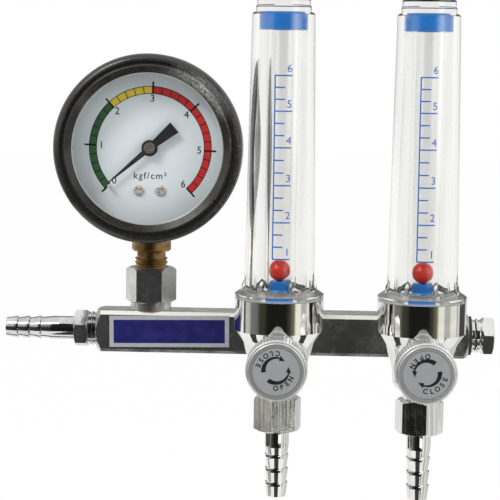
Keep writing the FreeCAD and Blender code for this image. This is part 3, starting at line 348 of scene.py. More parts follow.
# %% Lamps
def make_lamp(name, place, target, size, watts):
    """A square soft lamp that faces a target."""
    data = bpy.data.lights.new(name, "AREA")
    data.size = size
    data.energy = watts
    lamp = bpy.data.objects.new(name, data)
    lamp.location = place
    lamp.rotation_euler = (Vector(target) - Vector(place)).to_track_quat("-Z", "Y").to_euler()
    bpy.context.scene.collection.objects.link(lamp)


make_lamp("key_lamp", (-0.55, -0.7, 0.75), (-0.02, -0.02, 0.03), size=0.35, watts=5.0)
make_lamp("fill_lamp", (0.75, -0.55, 0.35), (0.0, -0.02, 0.03), size=0.5, watts=2.5)
print("lamps:", len(bpy.data.lights))

# %% [markdown]
# The CAD meshes come as loose triangles with flat shading. Turned and bent faces should shade smoothly,
# while a machined edge stays crisp. One small Geometry Nodes tree does both for every piece: it welds the
# triangles and marks an edge sharp where its two faces meet at more than a set angle. It stays on the piece
# as a modifier.

# %% Crisp machined edges
WELD_REACH = 2e-7
SHARP_ANGLE = math.radians(28)


def edge_tree():
    """Welds a mesh, shades it smoothly and keeps its sharp edges."""
    tree = bpy.data.node_groups.new("machined_edges", "GeometryNodeTree")
    add_sockets(tree, "INPUT", {"Geometry": "Geometry", "Sharp Angle": "Float"})
    add_sockets(tree, "OUTPUT", {"Geometry": "Geometry"})
    start = add(tree, "NodeGroupInput")
    weld = add(tree, "GeometryNodeMergeByDistance", {"Distance": WELD_REACH})
    smooth = add(tree, "GeometryNodeSetShadeSmooth", {"Shade Smooth": True}, domain="FACE")
    angle = add(tree, "GeometryNodeInputMeshEdgeAngle")
    above = add(tree, "FunctionNodeCompare", data_type="FLOAT", operation="GREATER_THAN")
    sharp = add(tree, "GeometryNodeSetShadeSmooth", {"Shade Smooth": False}, domain="EDGE")
    end = add(tree, "NodeGroupOutput")
    join(tree, start, "Geometry", weld, "Geometry")
    join(tree, weld, "Geometry", smooth, "Geometry")
    join(tree, smooth, "Geometry", sharp, "Geometry")
    join(tree, angle, "Unsigned Angle", above, "A")
    join(tree, start, "Sharp Angle", above, "B")
    join(tree, above, "Result", sharp, "Selection")
    join(tree, sharp, "Geometry", end, "Geometry")
    return tree


def set_input(modifier, name, value):
    """Sets a Geometry Nodes input by its socket's identifier."""
    for item in modifier.node_group.interface.items_tree:
        if item.item_type == "SOCKET" and item.in_out == "INPUT" and item.name == name:
            modifier[item.identifier] = value


crisp = edge_tree()
for node in nodes.values():
    modifier = node.modifiers.new("machined_edges", "NODES")
    modifier.node_group = crisp
    set_input(modifier, "Sharp Angle", SHARP_ANGLE)
print("crisp edges on", len(nodes), "pieces")

# %% [markdown]
# Real plating is never a perfect mirror. Fingers leave smears, casting leaves a grain under the chrome, and
# a drawn or milled bar keeps fine lines along its length. Those three marks are used by nearly every metal
# and plastic here, so they are one shader group. It gives out masks and a normal, and each material decides
# how much of each it takes.

# %% Shared marks
def marks_group():
    """Three noise masks and a bump: smears, grain, and streaks drawn out along Z."""
    group = bpy.data.node_groups.new("hand_marks", "ShaderNodeTree")
    add_sockets(group, "INPUT", {"Smear Scale": "Float", "Grain Scale": "Float", "Streak Scale": "Float",
                                 "Streak Share": "Float", "Depth": "Float"})
    add_sockets(group, "OUTPUT", {"Smear": "Float", "Grain": "Float", "Streak": "Float", "Normal": "Vector"})
    start = add(group, "NodeGroupInput")
    place = add(group, "ShaderNodeTexCoord")
    smear = add(group, "ShaderNodeTexNoise", {"Detail": 3.0, "Roughness": 0.6, "Distortion": 0.6})
    smear_range = add(group, "ShaderNodeMapRange", {"From Min": 0.38, "From Max": 0.66})
    grain = add(group, "ShaderNodeTexNoise", {"Detail": 2.0, "Roughness": 0.7})
    grain_range = add(group, "ShaderNodeMapRange", {"From Min": 0.35, "From Max": 0.68})
    upright = add(group, "ShaderNodeMapping", {"Scale": (1.0, 1.0, 0.05)})
    streak = add(group, "ShaderNodeTexNoise", {"Detail": 2.0, "Roughness": 0.5})
    streak_range = add(group, "ShaderNodeMapRange", {"From Min": 0.38, "From Max": 0.64})
    height = add(group, "ShaderNodeMix", data_type="FLOAT")
    bump = add(group, "ShaderNodeBump", {"Distance": 0.0002})
    end = add(group, "NodeGroupOutput")
    for texture in (smear, grain):
        join(group, place, "Object", texture, "Vector")
    join(group, place, "Object", upright, "Vector")
    join(group, upright, "Vector", streak, "Vector")
    join(group, start, "Smear Scale", smear, "Scale")
    join(group, start, "Grain Scale", grain, "Scale")
    join(group, start, "Streak Scale", streak, "Scale")
    join(group, smear, "Fac", smear_range, "Value")
    join(group, grain, "Fac", grain_range, "Value")
    join(group, streak, "Fac", streak_range, "Value")
    join(group, start, "Streak Share", height, 0)
    join(group, grain, "Fac", height, 2)
    join(group, streak, "Fac", height, 3)
    join(group, height, 0, bump, "Height")
    join(group, start, "Depth", bump, "Strength")
    join(group, smear_range, "Result", end, "Smear")
    join(group, grain_range, "Result", end, "Grain")
    join(group, streak_range, "Result", end, "Streak")
    join(group, bump, "Normal", end, "Normal")
    return group


hand_marks = marks_group()


def painted(name, plain, stained, rough, metallic=0.0, smears=300.0, grain=1500.0, depth=0.02,
            stain_by="Smear", streaks=700.0, streak_share=0.0, **shader):
    """A Principled material whose colour and roughness wander between two values with the shared marks."""
    material = bpy.data.materials.new(name)
    tree = new_tree(material)
    scales = {"Smear Scale": smears, "Grain Scale": grain, "Streak Scale": streaks}
    marks = add(tree, "ShaderNodeGroup", {**scales, "Depth": depth, "Streak Share": streak_share},
                node_tree=hand_marks)
    body = add(tree, "ShaderNodeBsdfPrincipled", {"Metallic": metallic})
    for key, value in shader.items():
        body.inputs[key.replace("_", " ")].default_value = value
    colour = add(tree, "ShaderNodeMix", {6: (*plain, 1), 7: (*stained, 1)}, data_type="RGBA")
    roughness = add(tree, "ShaderNodeMapRange", {"To Min": rough[0], "To Max": rough[1]})
    end = add(tree, "ShaderNodeOutputMaterial")
    join(tree, marks, stain_by, colour, 0)
    join(tree, colour, 2, body, "Base Color")
    join(tree, marks, "Smear", roughness, "Value")
    join(tree, roughness, "Result", body, "Roughness")
    join(tree, marks, "Normal", body, "Normal")
    join(tree, body, 0, end, "Surface")
    return material


def grey(level):
    """A colour without a tint."""
    return level, level, level


print("shared marks:", [item.name for item in hand_marks.interface.items_tree if item.in_out == "OUTPUT"])

# %% [markdown]
# Each finish has a plain colour and a marked one, and the least and the most roughness between which the
# smears lead it. The cups and nozzles have the best chrome. The bar, the adapter and the knobs are duller,
# and the outlet nuts keep the upright lines of the milling cutter.

# %% Metal finishes
chrome = painted("chrome_plate", (0.86, 0.86, 0.85), (0.76, 0.755, 0.74), (0.03, 0.08), metallic=1.0,
                 smears=90.0, grain=700.0)
chrome_fitting = painted("chrome_fitting", (0.72, 0.72, 0.73), grey(0.5), (0.05, 0.14), metallic=1.0,
                         smears=150.0, grain=900.0, depth=0.06)
chrome_bar = painted("chrome_bar", (0.62, 0.62, 0.61), (0.42, 0.42, 0.41), (0.14, 0.32), metallic=0.94,
                     smears=130.0, grain=1300.0, depth=0.15)
chrome_nut = painted("chrome_nut", grey(0.84), grey(0.6), (0.12, 0.24), metallic=1.0, smears=200.0,
                     depth=1.0, stain_by="Streak", streaks=900.0, streak_share=0.85)
chrome_adapter = painted("chrome_adapter", grey(0.66), grey(0.5), (0.16, 0.3), metallic=0.96, smears=260.0,
                         grain=1600.0, depth=0.14)
chrome_knob = painted("chrome_knob", (0.74, 0.74, 0.73), (0.64, 0.64, 0.62), (0.34, 0.42), metallic=0.8,
                      smears=120.0, depth=0.08)
aged_brass = painted("aged_brass", (0.42, 0.27, 0.11), (0.17, 0.1, 0.04), (0.28, 0.5), metallic=1.0,
                     smears=230.0, grain=900.0, depth=0.4)
clean_brass = painted("clean_brass", (0.8, 0.62, 0.3), (0.66, 0.48, 0.22), (0.2, 0.35), metallic=1.0,
                      smears=200.0, grain=900.0, depth=0.1)
bright_steel = painted("bright_steel", (1.0, 0.98, 0.94), (0.4, 0.3, 0.2), (0.3, 0.4), metallic=0.5,
                       smears=1300.0, grain=2500.0, depth=0.9)
hub_steel = painted("hub_steel", (0.3, 0.27, 0.24), (0.17, 0.13, 0.1), (0.35, 0.5), metallic=0.7,
                    smears=1300.0, grain=2500.0, depth=0.3)

# %% Paint, plastic and ink finishes
ENAMEL, ENAMEL_WORN = (0.014, 0.013, 0.012), (0.026, 0.025, 0.023)
COAT = {"Coat_Weight": 0.3, "Coat_Roughness": 0.12}
black_enamel = painted("black_enamel", ENAMEL, ENAMEL_WORN, (0.2, 0.34), smears=90.0, grain=900.0,
                       depth=0.06, **COAT)
bezel_enamel = painted("bezel_enamel", ENAMEL, ENAMEL_WORN, (0.2, 0.34), smears=90.0, grain=900.0,
                       depth=0.06, stain_by="Grain", streaks=900.0, streak_share=0.5, **COAT)
black_paint = painted("black_paint", grey(0.012), grey(0.03), (0.4, 0.55), depth=0.1)
rubber = painted("black_rubber", grey(0.02), grey(0.045), (0.6, 0.8), grain=1800.0, depth=0.3)
pale_gasket = painted("pale_gasket", (0.66, 0.66, 0.62), (0.56, 0.56, 0.52), (0.5, 0.6), grain=1800.0,
                      depth=0.1)
dial_white = painted("dial_card", (0.87, 0.95, 0.98), (0.83, 0.91, 0.94), (0.45, 0.55), smears=25.0,
                     depth=0.03)
blue_plastic = painted("blue_plastic", (0.012, 0.19, 0.6), (0.01, 0.15, 0.5), (0.22, 0.32), smears=120.0,
                       grain=900.0, depth=0.05)
red_plastic = painted("red_plastic", (0.72, 0.035, 0.02), (0.62, 0.028, 0.016), (0.25, 0.35), smears=150.0,
                      grain=900.0, depth=0.05, Subsurface_Weight=0.05)
grey_disc = painted("grey_disc", (0.38, 0.39, 0.4), (0.33, 0.34, 0.35), (0.42, 0.52), metallic=0.25,
                    smears=120.0, grain=1800.0, depth=0.1)
blue_ink = painted("blue_ink", (0.02, 0.13, 0.52), (0.03, 0.16, 0.58), (0.45, 0.55))
black_ink = painted("black_ink", (0.012, 0.012, 0.014), (0.02, 0.02, 0.023), (0.6, 0.7), smears=500.0,
                    Specular_IOR_Level=0.12)
green_ink = painted("green_ink", (0.032, 0.135, 0.042), (0.04, 0.15, 0.05), (0.5, 0.6))
yellow_ink = painted("yellow_ink", (0.98, 0.76, 0.07), (0.93, 0.71, 0.065), (0.5, 0.6))
red_ink = painted("red_ink", (0.78, 0.016, 0.02), (0.72, 0.014, 0.018), (0.5, 0.6))
label_silver = painted("label_silver", (0.4, 0.415, 0.45), (0.34, 0.355, 0.39), (0.35, 0.5), smears=200.0,
                       depth=0.08)
label_navy = painted("label_navy", (0.009, 0.009, 0.115), (0.013, 0.013, 0.15), (0.3, 0.42), smears=200.0,
                     depth=0.05)
print("materials so far:", len(bpy.data.materials))

# %% [markdown]
# The adapter is brazed on the bar. The heat left a brown stain round its foot, on both pieces, so the stain
# is a group of its own: it measures how far a point is from the joint and breaks the edge up with noise.

# %% Braze stain
BRAZE_BROWN = (0.27, 0.17, 0.09)
STAIN_ON_BAR, STAIN_ON_ADAPTER, FOOT_DEPTH = 11 * MM, 8 * MM, 3 * MM


def braze_group():
    """1 near a centre and 0 beyond a reach, with a ragged edge."""
    group = bpy.data.node_groups.new("braze_stain", "ShaderNodeTree")
    add_sockets(group, "INPUT", {"Centre": "Vector", "Reach": "Float"})
    add_sockets(group, "OUTPUT", {"Stain": "Float"})
    start = add(group, "NodeGroupInput")
    place = add(group, "ShaderNodeTexCoord")
    away = add(group, "ShaderNodeVectorMath", operation="DISTANCE")
    share = add(group, "ShaderNodeMath", operation="DIVIDE")
    noise = add(group, "ShaderNodeTexNoise", {"Scale": 420.0, "Detail": 4.0, "Roughness": 0.65})
    ragged = add(group, "ShaderNodeMath", {1: 0.8}, operation="MULTIPLY_ADD")
    stain = add(group, "ShaderNodeMapRange", {"From Min": 0.8, "From Max": 1.35, "To Min": 1.0,
                                              "To Max": 0.0})
    end = add(group, "NodeGroupOutput")
    join(group, place, "Object", away, 0)
    join(group, start, "Centre", away, 1)
    join(group, away, "Value", share, 0)
    join(group, start, "Reach", share, 1)
    join(group, place, "Object", noise, "Vector")
    join(group, noise, "Fac", ragged, 0)
    join(group, share, 0, ragged, 2)
    join(group, ragged, 0, stain, "Value")
    join(group, stain, "Result", end, "Stain")
    return group


braze_stain = braze_group()


def principled(material):
    """The Principled node of a finished material."""
    return next(n for n in material.node_tree.nodes if n.type == "BSDF_PRINCIPLED")


def pass_on(body, entry, target, number):
    """Leads what feeds one of the body's inputs into another node first."""
    body.id_data.links.new(body.inputs[entry].links[0].from_socket, target.inputs[number])


def brazed(material, centre, reach, brown):
    """Lays the brown stain over a finished material's colour, and dulls it there."""
    tree = material.node_tree
    body = principled(material)
    stain = add(tree, "ShaderNodeGroup", {"Centre": centre, "Reach": reach}, node_tree=braze_stain)
    colour = add(tree, "ShaderNodeMix", {7: (*brown, 1)}, data_type="RGBA")
    dull = add(tree, "ShaderNodeMix", {3: 0.5}, data_type="FLOAT")
    pass_on(body, "Base Color", colour, 6)
    pass_on(body, "Roughness", dull, 2)
    join(tree, stain, 0, colour, 0)
    join(tree, stain, 0, dull, 0)
    join(tree, colour, 2, body, "Base Color")
    join(tree, dull, 0, body, "Roughness")


foot_low, foot_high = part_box("gauge_adapter")
foot = ((foot_low[0] + foot_high[0]) / 2, foot_low[1] + FOOT_DEPTH, foot_low[2])
brazed(chrome_bar, foot, STAIN_ON_BAR, BRAZE_BROWN)
brazed(chrome_adapter, foot, STAIN_ON_ADAPTER, BRAZE_BROWN)
print("braze stain round", [round(v, 4) for v in foot])

# %% [markdown]
# The bar's upper bevels are worn dull by hands and cloths. They are also painted a light cream and made
# nearly non-metallic, a painted highlight of the soft light from above. A point lies on a bevel where its
# height and its distance from the bar's middle plane add up to more than the flat faces have.

# %% Worn bevels with a painted highlight
def rubbed(material, middle_y, reach, blend, highlight_colour):
    """Dulls a material and paints a highlight where height and depth together pass a reach."""
    tree = material.node_tree
    body = principled(material)
    place = add(tree, "ShaderNodeTexCoord")
    split = add(tree, "ShaderNodeSeparateXYZ")
    depth = add(tree, "ShaderNodeMath", {1: -middle_y}, operation="ADD")
    size = add(tree, "ShaderNodeMath", operation="ABSOLUTE")
    total = add(tree, "ShaderNodeMath", operation="ADD")
    mask = add(tree, "ShaderNodeMapRange", {"From Min": reach, "From Max": reach + blend})
    # Painted highlight: the cream colour and the low metal stand in for the soft light from above.
    colour = add(tree, "ShaderNodeMix", {7: (*highlight_colour, 1)}, data_type="RGBA")
    dull = add(tree, "ShaderNodeMix", {3: 0.55}, data_type="FLOAT")
    metal = add(tree, "ShaderNodeMix", {2: body.inputs["Metallic"].default_value, 3: 0.1}, data_type="FLOAT")
    pass_on(body, "Base Color", colour, 6)
    pass_on(body, "Roughness", dull, 2)
    join(tree, place, "Object", split, 0)
    join(tree, split, "Y", depth, 0)
    join(tree, depth, 0, size, 0)
    join(tree, size, 0, total, 0)
    join(tree, split, "Z", total, 1)
    join(tree, total, 0, mask, "Value")
    for mix in (colour, dull, metal):
        join(tree, mask, "Result", mix, 0)
    join(tree, colour, 2, body, "Base Color")
    join(tree, dull, 0, body, "Roughness")
    join(tree, metal, 0, body, "Metallic")


BEVEL, BEVEL_SPREAD, BEVEL_BLEND = 1.2 * MM, 0.15 * MM, 0.1 * MM
# Light cream of the painted highlight on the upper bevels.
BEVEL_HIGHLIGHT = (0.93, 0.91, 0.82)
bar_low, bar_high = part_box("manifold_bar")
bevel_reach = 2 * bar_high[2] - BEVEL - BEVEL_SPREAD
rubbed(chrome_bar, (bar_low[1] + bar_high[1]) / 2, bevel_reach, BEVEL_BLEND, BEVEL_HIGHLIGHT)
print("rubbed beyond", round(bevel_reach / MM, 2), "mm")

# %% [markdown]
# The gauge's ring gets a grainy painted highlight at its upper right and a painted highlight on its inner
# edge. Both are found from the distance and the angle about the gauge's own middle.

# %% Painted highlights on the ring
RING_EDGE, LIP_BLEND, PATCH_RISE, PATCH_OUTSIDE = 26.8 * MM, 0.08 * MM, 1.5 * MM, 3.5 * MM
PATCH_TURN, PATCH_SPREAD = math.radians(48), math.radians(28)
# Colours of the two painted highlights: the patch at the upper right and the inner edge.
PAINTED_SHEEN_TONE, PAINTED_EDGE_TONE = (0.5, 0.5, 0.48, 1), (0.36, 0.36, 0.33, 1)


def rubbed_ring(material, box, turn, spread, edge):
    """A painted highlight at one angle of a ring, and another on its inner edge inside a radius."""
    tree = material.node_tree
    body = principled(material)
    low, high = box
    half = (high[0] - low[0]) / 2
    middle = ((low[0] + high[0]) / 2, 0, (low[2] + high[2]) / 2)
    place = add(tree, "ShaderNodeTexCoord")
    flat = add(tree, "ShaderNodeVectorMath", {1: (1, 0, 1)}, operation="MULTIPLY")
    away = add(tree, "ShaderNodeVectorMath", {1: middle}, operation="SUBTRACT")
    reach = add(tree, "ShaderNodeVectorMath", operation="LENGTH")
    split = add(tree, "ShaderNodeSeparateXYZ")
    angle = add(tree, "ShaderNodeMath", operation="ARCTAN2")
    off = add(tree, "ShaderNodeMath", {1: turn}, operation="SUBTRACT")
    size = add(tree, "ShaderNodeMath", operation="ABSOLUTE")
    falling = {"To Min": 1.0, "To Max": 0.0}
    window = add(tree, "ShaderNodeMapRange", {"From Max": spread, **falling})
    inner = add(tree, "ShaderNodeMapRange", {"From Min": edge, "From Max": edge + PATCH_RISE})
    outer = add(tree, "ShaderNodeMapRange", {"From Min": half - PATCH_OUTSIDE, "From Max": half - MM,
                                             **falling})
    lip = add(tree, "ShaderNodeMapRange", {"From Min": edge, "From Max": edge + LIP_BLEND, **falling})
    noise = add(tree, "ShaderNodeTexNoise", {"Scale": 1400.0, "Detail": 3.0})
    grit = add(tree, "ShaderNodeMapRange", {"From Min": 0.35, "From Max": 0.65, "To Min": 0.15})
    join(tree, place, "Object", flat, 0)
    join(tree, flat, 0, away, 0)
    join(tree, away, 0, reach, 0)
    join(tree, away, 0, split, 0)
    join(tree, split, "Z", angle, 0)
    join(tree, split, "X", angle, 1)
    join(tree, angle, 0, off, 0)
    join(tree, off, 0, size, 0)
    join(tree, size, 0, window, "Value")
    for factor in (inner, outer, lip):
        join(tree, reach, "Value", factor, "Value")
    join(tree, place, "Object", noise, "Vector")
    join(tree, noise, 0, grit, "Value")
    mask = window.outputs["Result"]
    for factor in (inner, outer, grit):
        product = add(tree, "ShaderNodeMath", operation="MULTIPLY")
        tree.links.new(mask, product.inputs[0])
        join(tree, factor, "Result", product, 1)
        mask = product.outputs[0]
    # Painted highlights: the lighter patch at the upper right, then the lighter inner edge.
    sheen_mix = add(tree, "ShaderNodeMix", {7: PAINTED_SHEEN_TONE}, data_type="RGBA")
    edge_highlight_mix = add(tree, "ShaderNodeMix", {7: PAINTED_EDGE_TONE}, data_type="RGBA")
    pass_on(body, "Base Color", sheen_mix, 6)
    tree.links.new(mask, sheen_mix.inputs[0])
    join(tree, lip, "Result", edge_highlight_mix, 0)
    join(tree, sheen_mix, 2, edge_highlight_mix, 6)
    join(tree, edge_highlight_mix, 2, body, "Base Color")


rubbed_ring(bezel_enamel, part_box("gauge_bezel"), PATCH_TURN, PATCH_SPREAD, RING_EDGE)
print("painted edge highlight inside", round(RING_EDGE / MM, 1), "mm")

# %% [markdown]
# The tubes, covers, caps and the gauge's window are clear acrylic. It is a Principled material with full
# transmission; the shared marks only add the faint haze and flow lines of a moulded piece. A renderer
# treats the shadow of clear plastic as if it were solid, so for shadow rays and soft light the piece is a
# plain thin veil.

# %% Clear plastic
VEIL = (0.96, 0.96, 0.96, 1)
ACRYLIC_IOR = 1.49
STAIN_SHARE = 0.985
FOOT_FROST, FROST_BLEND, FROST_LEFT = 6.5 * MM, 1.5 * MM, 0.72


def clear(name, tint, most_rough, depth):
    """Clear plastic with faint marks, and only a thin veil to soft light and shadows."""
    stained = tuple(v * STAIN_SHARE for v in tint)
    material = painted(name, tint, stained, (0.0, most_rough), smears=70.0, grain=250.0, depth=depth)
    tree = material.node_tree
    body = principled(material)
    body.inputs["Transmission Weight"].default_value = 1.0
    body.inputs["IOR"].default_value = ACRYLIC_IOR
    ray = add(tree, "ShaderNodeLightPath")
    passing = add(tree, "ShaderNodeMath", operation="MAXIMUM")
    veil = add(tree, "ShaderNodeBsdfTransparent", {"Color": VEIL})
    mix = add(tree, "ShaderNodeMixShader")
    out = next(n for n in tree.nodes if n.type == "OUTPUT_MATERIAL")
    join(tree, ray, "Is Shadow Ray", passing, 0)
    join(tree, ray, "Is Diffuse Ray", passing, 1)
    join(tree, passing, 0, mix, 0)
    join(tree, body, 0, mix, 1)
    join(tree, veil, 0, mix, 2)
    join(tree, mix, 0, out, "Surface")
    return material


def frosted_below(material, level, blend, share):
    """Lets less light straight through under a level: the thick foot of a moulded cover looks milky."""
    tree = material.node_tree
    place = add(tree, "ShaderNodeTexCoord")
    split = add(tree, "ShaderNodeSeparateXYZ")
    rise = add(tree, "ShaderNodeMapRange", {"From Min": level, "From Max": level + blend,
                                            "To Min": share, "To Max": 1.0})
    join(tree, place, "Object", split, 0)
    join(tree, split, "Z", rise, "Value")
    join(tree, rise, "Result", principled(material), "Transmission Weight")


clear_cover = clear("clear_cover", (0.985, 0.985, 0.975), 0.03, 0.02)
cover_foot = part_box("left_tube_cover")[0][2]
frosted_below(clear_cover, cover_foot + FOOT_FROST, FROST_BLEND, FROST_LEFT)
clear_tube = clear("clear_tube", (0.985, 0.985, 0.98), 0.02, 0.01)
clear_window = clear("clear_window", (0.99, 0.99, 0.99), 0.01, 0.0)
print("covers milky below", round(cover_foot + FOOT_FROST, 4))

# %% [markdown]
# The record says which finish each piece was drawn with. A few pieces of the same stock look different on
# the real object, because they were cast, milled or polished, so those are named one by one.

# %% Hand out the finishes
BY_SLOT = {"chrome": chrome, "aged_brass": aged_brass, "brass": clean_brass, "bronze": clean_brass,
           "bright_steel": bright_steel, "black_enamel": black_enamel, "black_pointer": black_paint,
           "dial_face": dial_white, "label": label_silver, "grey_disc": grey_disc,
           "clear_plastic": clear_cover, "blue_plastic": blue_plastic, "red_plastic": red_plastic,
           "black_rubber": rubber}
BY_PIECE = {"manifold_bar": chrome_bar, "inlet_barb": chrome_fitting, "gauge_adapter": chrome_adapter,
            "outlet_nut": chrome_nut, "knob": chrome_knob, "metering_tube": clear_tube,
            "gauge_window": clear_window, "cover_gasket": pale_gasket, "pointer_bush": hub_steel,
            "gauge_bezel": bezel_enamel}
slots = {row["node"]: row["material_slot"] for row in frame["record"]["subparts"]}
for name, node in nodes.items():
    piece = name.removeprefix("left_").removeprefix("right_")
    node.data.materials.clear()
    node.data.materials.append(BY_PIECE.get(piece, BY_SLOT[slots[name]]))
print("finished pieces:", len(nodes))

# %% [markdown]
# Printed marks repeat by a rule, so Geometry Nodes place them: one flat bar is set on a row of points,
# along a line or round an arc. Ink has a real thickness here, a few hundredths of a millimetre, so that it
# exports.

# %% Printing helpers
def finish_mesh(mesh, name, place, material, body):
    """Puts a mesh where it belongs, with its object at the origin, and lets it ride on a body."""
    mesh.transform(place)
    mesh.materials.clear()
    mesh.materials.append(material)
    piece = bpy.data.objects.new(name, mesh)
    bpy.context.scene.collection.objects.link(piece)
    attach(piece, body)
    return piece


def arc_marks_tree(material):
    """Bars set round an arc: counts, angles and sizes are its inputs."""
    tree = bpy.data.node_groups.new("arc_marks", "GeometryNodeTree")
    add_sockets(tree, "INPUT", {"Geometry": "Geometry", "Count": "Int", "First Angle": "Float",
                                "Step Angle": "Float", "Inner Radius": "Float", "Length": "Float",
                                "Width": "Float", "Height": "Float"})
    add_sockets(tree, "OUTPUT", {"Geometry": "Geometry"})
    start = add(tree, "NodeGroupInput")
    row = add(tree, "GeometryNodeMeshLine", mode="OFFSET")
    index = add(tree, "GeometryNodeInputIndex")
    turn = add(tree, "ShaderNodeMath", operation="MULTIPLY_ADD")
    cosine = add(tree, "ShaderNodeMath", operation="COSINE")
    sine = add(tree, "ShaderNodeMath", operation="SINE")
    middle = add(tree, "ShaderNodeMath", {1: 0.5}, operation="MULTIPLY_ADD")
    spot = add(tree, "ShaderNodeCombineXYZ")
    scale = add(tree, "ShaderNodeVectorMath", operation="SCALE")
    put = add(tree, "GeometryNodeSetPosition")
    bar = add(tree, "GeometryNodeMeshCube")
    size = add(tree, "ShaderNodeCombineXYZ")
    about = add(tree, "ShaderNodeCombineXYZ")
    copies = add(tree, "GeometryNodeInstanceOnPoints")
    real = add(tree, "GeometryNodeRealizeInstances")
    ink = add(tree, "GeometryNodeSetMaterial", {"Material": material})
    end = add(tree, "NodeGroupOutput")
    join(tree, start, "Count", row, "Count")
    join(tree, index, 0, turn, 0)
    join(tree, start, "Step Angle", turn, 1)
    join(tree, start, "First Angle", turn, 2)
    join(tree, turn, 0, cosine, 0)
    join(tree, turn, 0, sine, 0)
    join(tree, cosine, 0, spot, "X")
    join(tree, sine, 0, spot, "Y")
    join(tree, start, "Length", middle, 0)
    join(tree, start, "Inner Radius", middle, 2)
    join(tree, spot, 0, scale, 0)
    join(tree, middle, 0, scale, "Scale")
    join(tree, row, "Mesh", put, "Geometry")
    join(tree, scale, 0, put, "Position")
    join(tree, start, "Length", size, "X")
    join(tree, start, "Width", size, "Y")
    join(tree, start, "Height", size, "Z")
    join(tree, size, 0, bar, "Size")
    join(tree, turn, 0, about, "Z")
    join(tree, put, "Geometry", copies, "Points")
    join(tree, bar, "Mesh", copies, "Instance")
    join(tree, about, 0, copies, "Rotation")
    join(tree, copies, 0, real, 0)
    join(tree, real, 0, ink, "Geometry")
    join(tree, ink, "Geometry", end, "Geometry")
    return tree


def grown(name, tree, inputs):
    """Runs a Geometry Nodes tree on an empty mesh and returns the plain mesh that it makes."""
    seed = bpy.data.objects.new(name, bpy.data.meshes.new(name))
    bpy.context.scene.collection.objects.link(seed)
    modifier = seed.modifiers.new(name, "NODES")
    modifier.node_group = tree
    for key, value in inputs.items():
        set_input(modifier, key, value)
    graph = bpy.context.evaluated_depsgraph_get()
    mesh = bpy.data.meshes.new_from_object(seed.evaluated_get(graph))
    seed.modifiers.remove(modifier)
    bpy.data.objects.remove(seed)
    return mesh


arc_marks = arc_marks_tree(black_ink)


def facing_user(x, y, z):
    """Turns flat work drawn in XY to face the user, and puts its origin at a point in metres."""
    return Matrix.Translation((x, y, z)) @ Matrix.Rotation(math.radians(90), 4, "X")


print("marks tree inputs:", sum(item.in_out == "INPUT" for item in arc_marks.interface.items_tree))

# %% [markdown]
# The dial: three coloured bands, a thin black line on both sides of them, a fine line every 0.2 and a
# longer mark at each whole number. The real card sits about two degrees clockwise in its case, so its zero
# is at 223 degrees and not at 225.

# %% Dial bands and marks
dial_low, dial_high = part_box("gauge_dial")
DIAL_X = (dial_low[0] + dial_high[0]) / 2
DIAL_Z = (dial_low[2] + dial_high[2]) / 2
DIAL_Y = dial_low[1]
DIAL_ZERO = math.radians(222.8)
DIAL_UNIT = math.radians(-45.0)
BAND_IN, BAND_OUT = 19.4 * MM, 21.95 * MM
BAND_EDGE_HALF = 0.13 * MM
FINE_MARKS, MAIN_MARKS = 31, 7
INK = 0.03 * MM
on_dial = facing_user(DIAL_X, DIAL_Y, DIAL_Z)


def arc_band(name, inner, outer, start, end, height):
    """A flat ring segment between two angles, with its foot on z 0."""
    mesh = bpy.data.meshes.new(name)
    work = bmesh.new()
    steps = max(3, int(abs(end - start) / math.radians(1.5)))
    rows = []
    for k in range(steps + 1):
        angle = start + (end - start) * k / steps
        c, s = math.cos(angle), math.sin(angle)
        rows.append([work.verts.new((r * c, r * s, h)) for r, h in
                     ((inner, 0), (outer, 0), (outer, height), (inner, height))])
    for one, two in zip(rows, rows[1:]):
        for a in range(4):
            b = (a + 1) % 4
            work.faces.new((one[a], one[b], two[b], two[a]))
    work.faces.new(rows[0])
    work.faces.new(rows[-1])
    bmesh.ops.recalc_face_normals(work, faces=work.faces)
    work.to_mesh(mesh)
    work.free()
    return mesh


def dial_angle(value):
    """Where a reading stands on the dial, in radians counter-clockwise from the right."""
    return DIAL_ZERO + DIAL_UNIT * value


for name, first, last, ink in (("band_green", 0, 2, green_ink), ("band_yellow", 2, 3, yellow_ink),
                               ("band_red", 3, 6, red_ink)):
    band = arc_band(name, BAND_IN, BAND_OUT, dial_angle(first), dial_angle(last), INK)
    finish_mesh(band, name, on_dial, ink, "manifold")
for name, radius in (("band_edge_in", BAND_IN), ("band_edge_out", BAND_OUT)):
    inner, outer = radius - BAND_EDGE_HALF, radius + BAND_EDGE_HALF
    line = arc_band(name, inner, outer, dial_angle(0), dial_angle(6), 1.5 * INK)
    finish_mesh(line, name, on_dial, black_ink, "manifold")
fine = grown("dial_fine_marks", arc_marks, {
    "Count": FINE_MARKS, "First Angle": DIAL_ZERO, "Step Angle": DIAL_UNIT / 5, "Inner Radius": BAND_IN,
    "Length": BAND_OUT - BAND_IN, "Width": 0.3 * MM, "Height": 3.4 * INK})
finish_mesh(fine, "dial_fine_marks", on_dial, black_ink, "manifold")
main = grown("dial_main_marks", arc_marks, {
    "Count": MAIN_MARKS, "First Angle": DIAL_ZERO, "Step Angle": DIAL_UNIT, "Inner Radius": BAND_IN,
    "Length": 4.3 * MM, "Width": 0.62 * MM, "Height": 4.0 * INK})
finish_mesh(main, "dial_main_marks", on_dial, black_ink, "manifold")
print("dial marks:", len(fine.polygons) // 6, "fine,", len(main.polygons) // 6, "main")

# %% [markdown]
# Letters and numbers are Blender text, turned into thin flat meshes. Print spreads a little as it dries, so
# each letter gets a small bevel that makes it bolder. Sizes are given as the height of a capital.

# %% Lettering
CAP_SHARE = 0.682


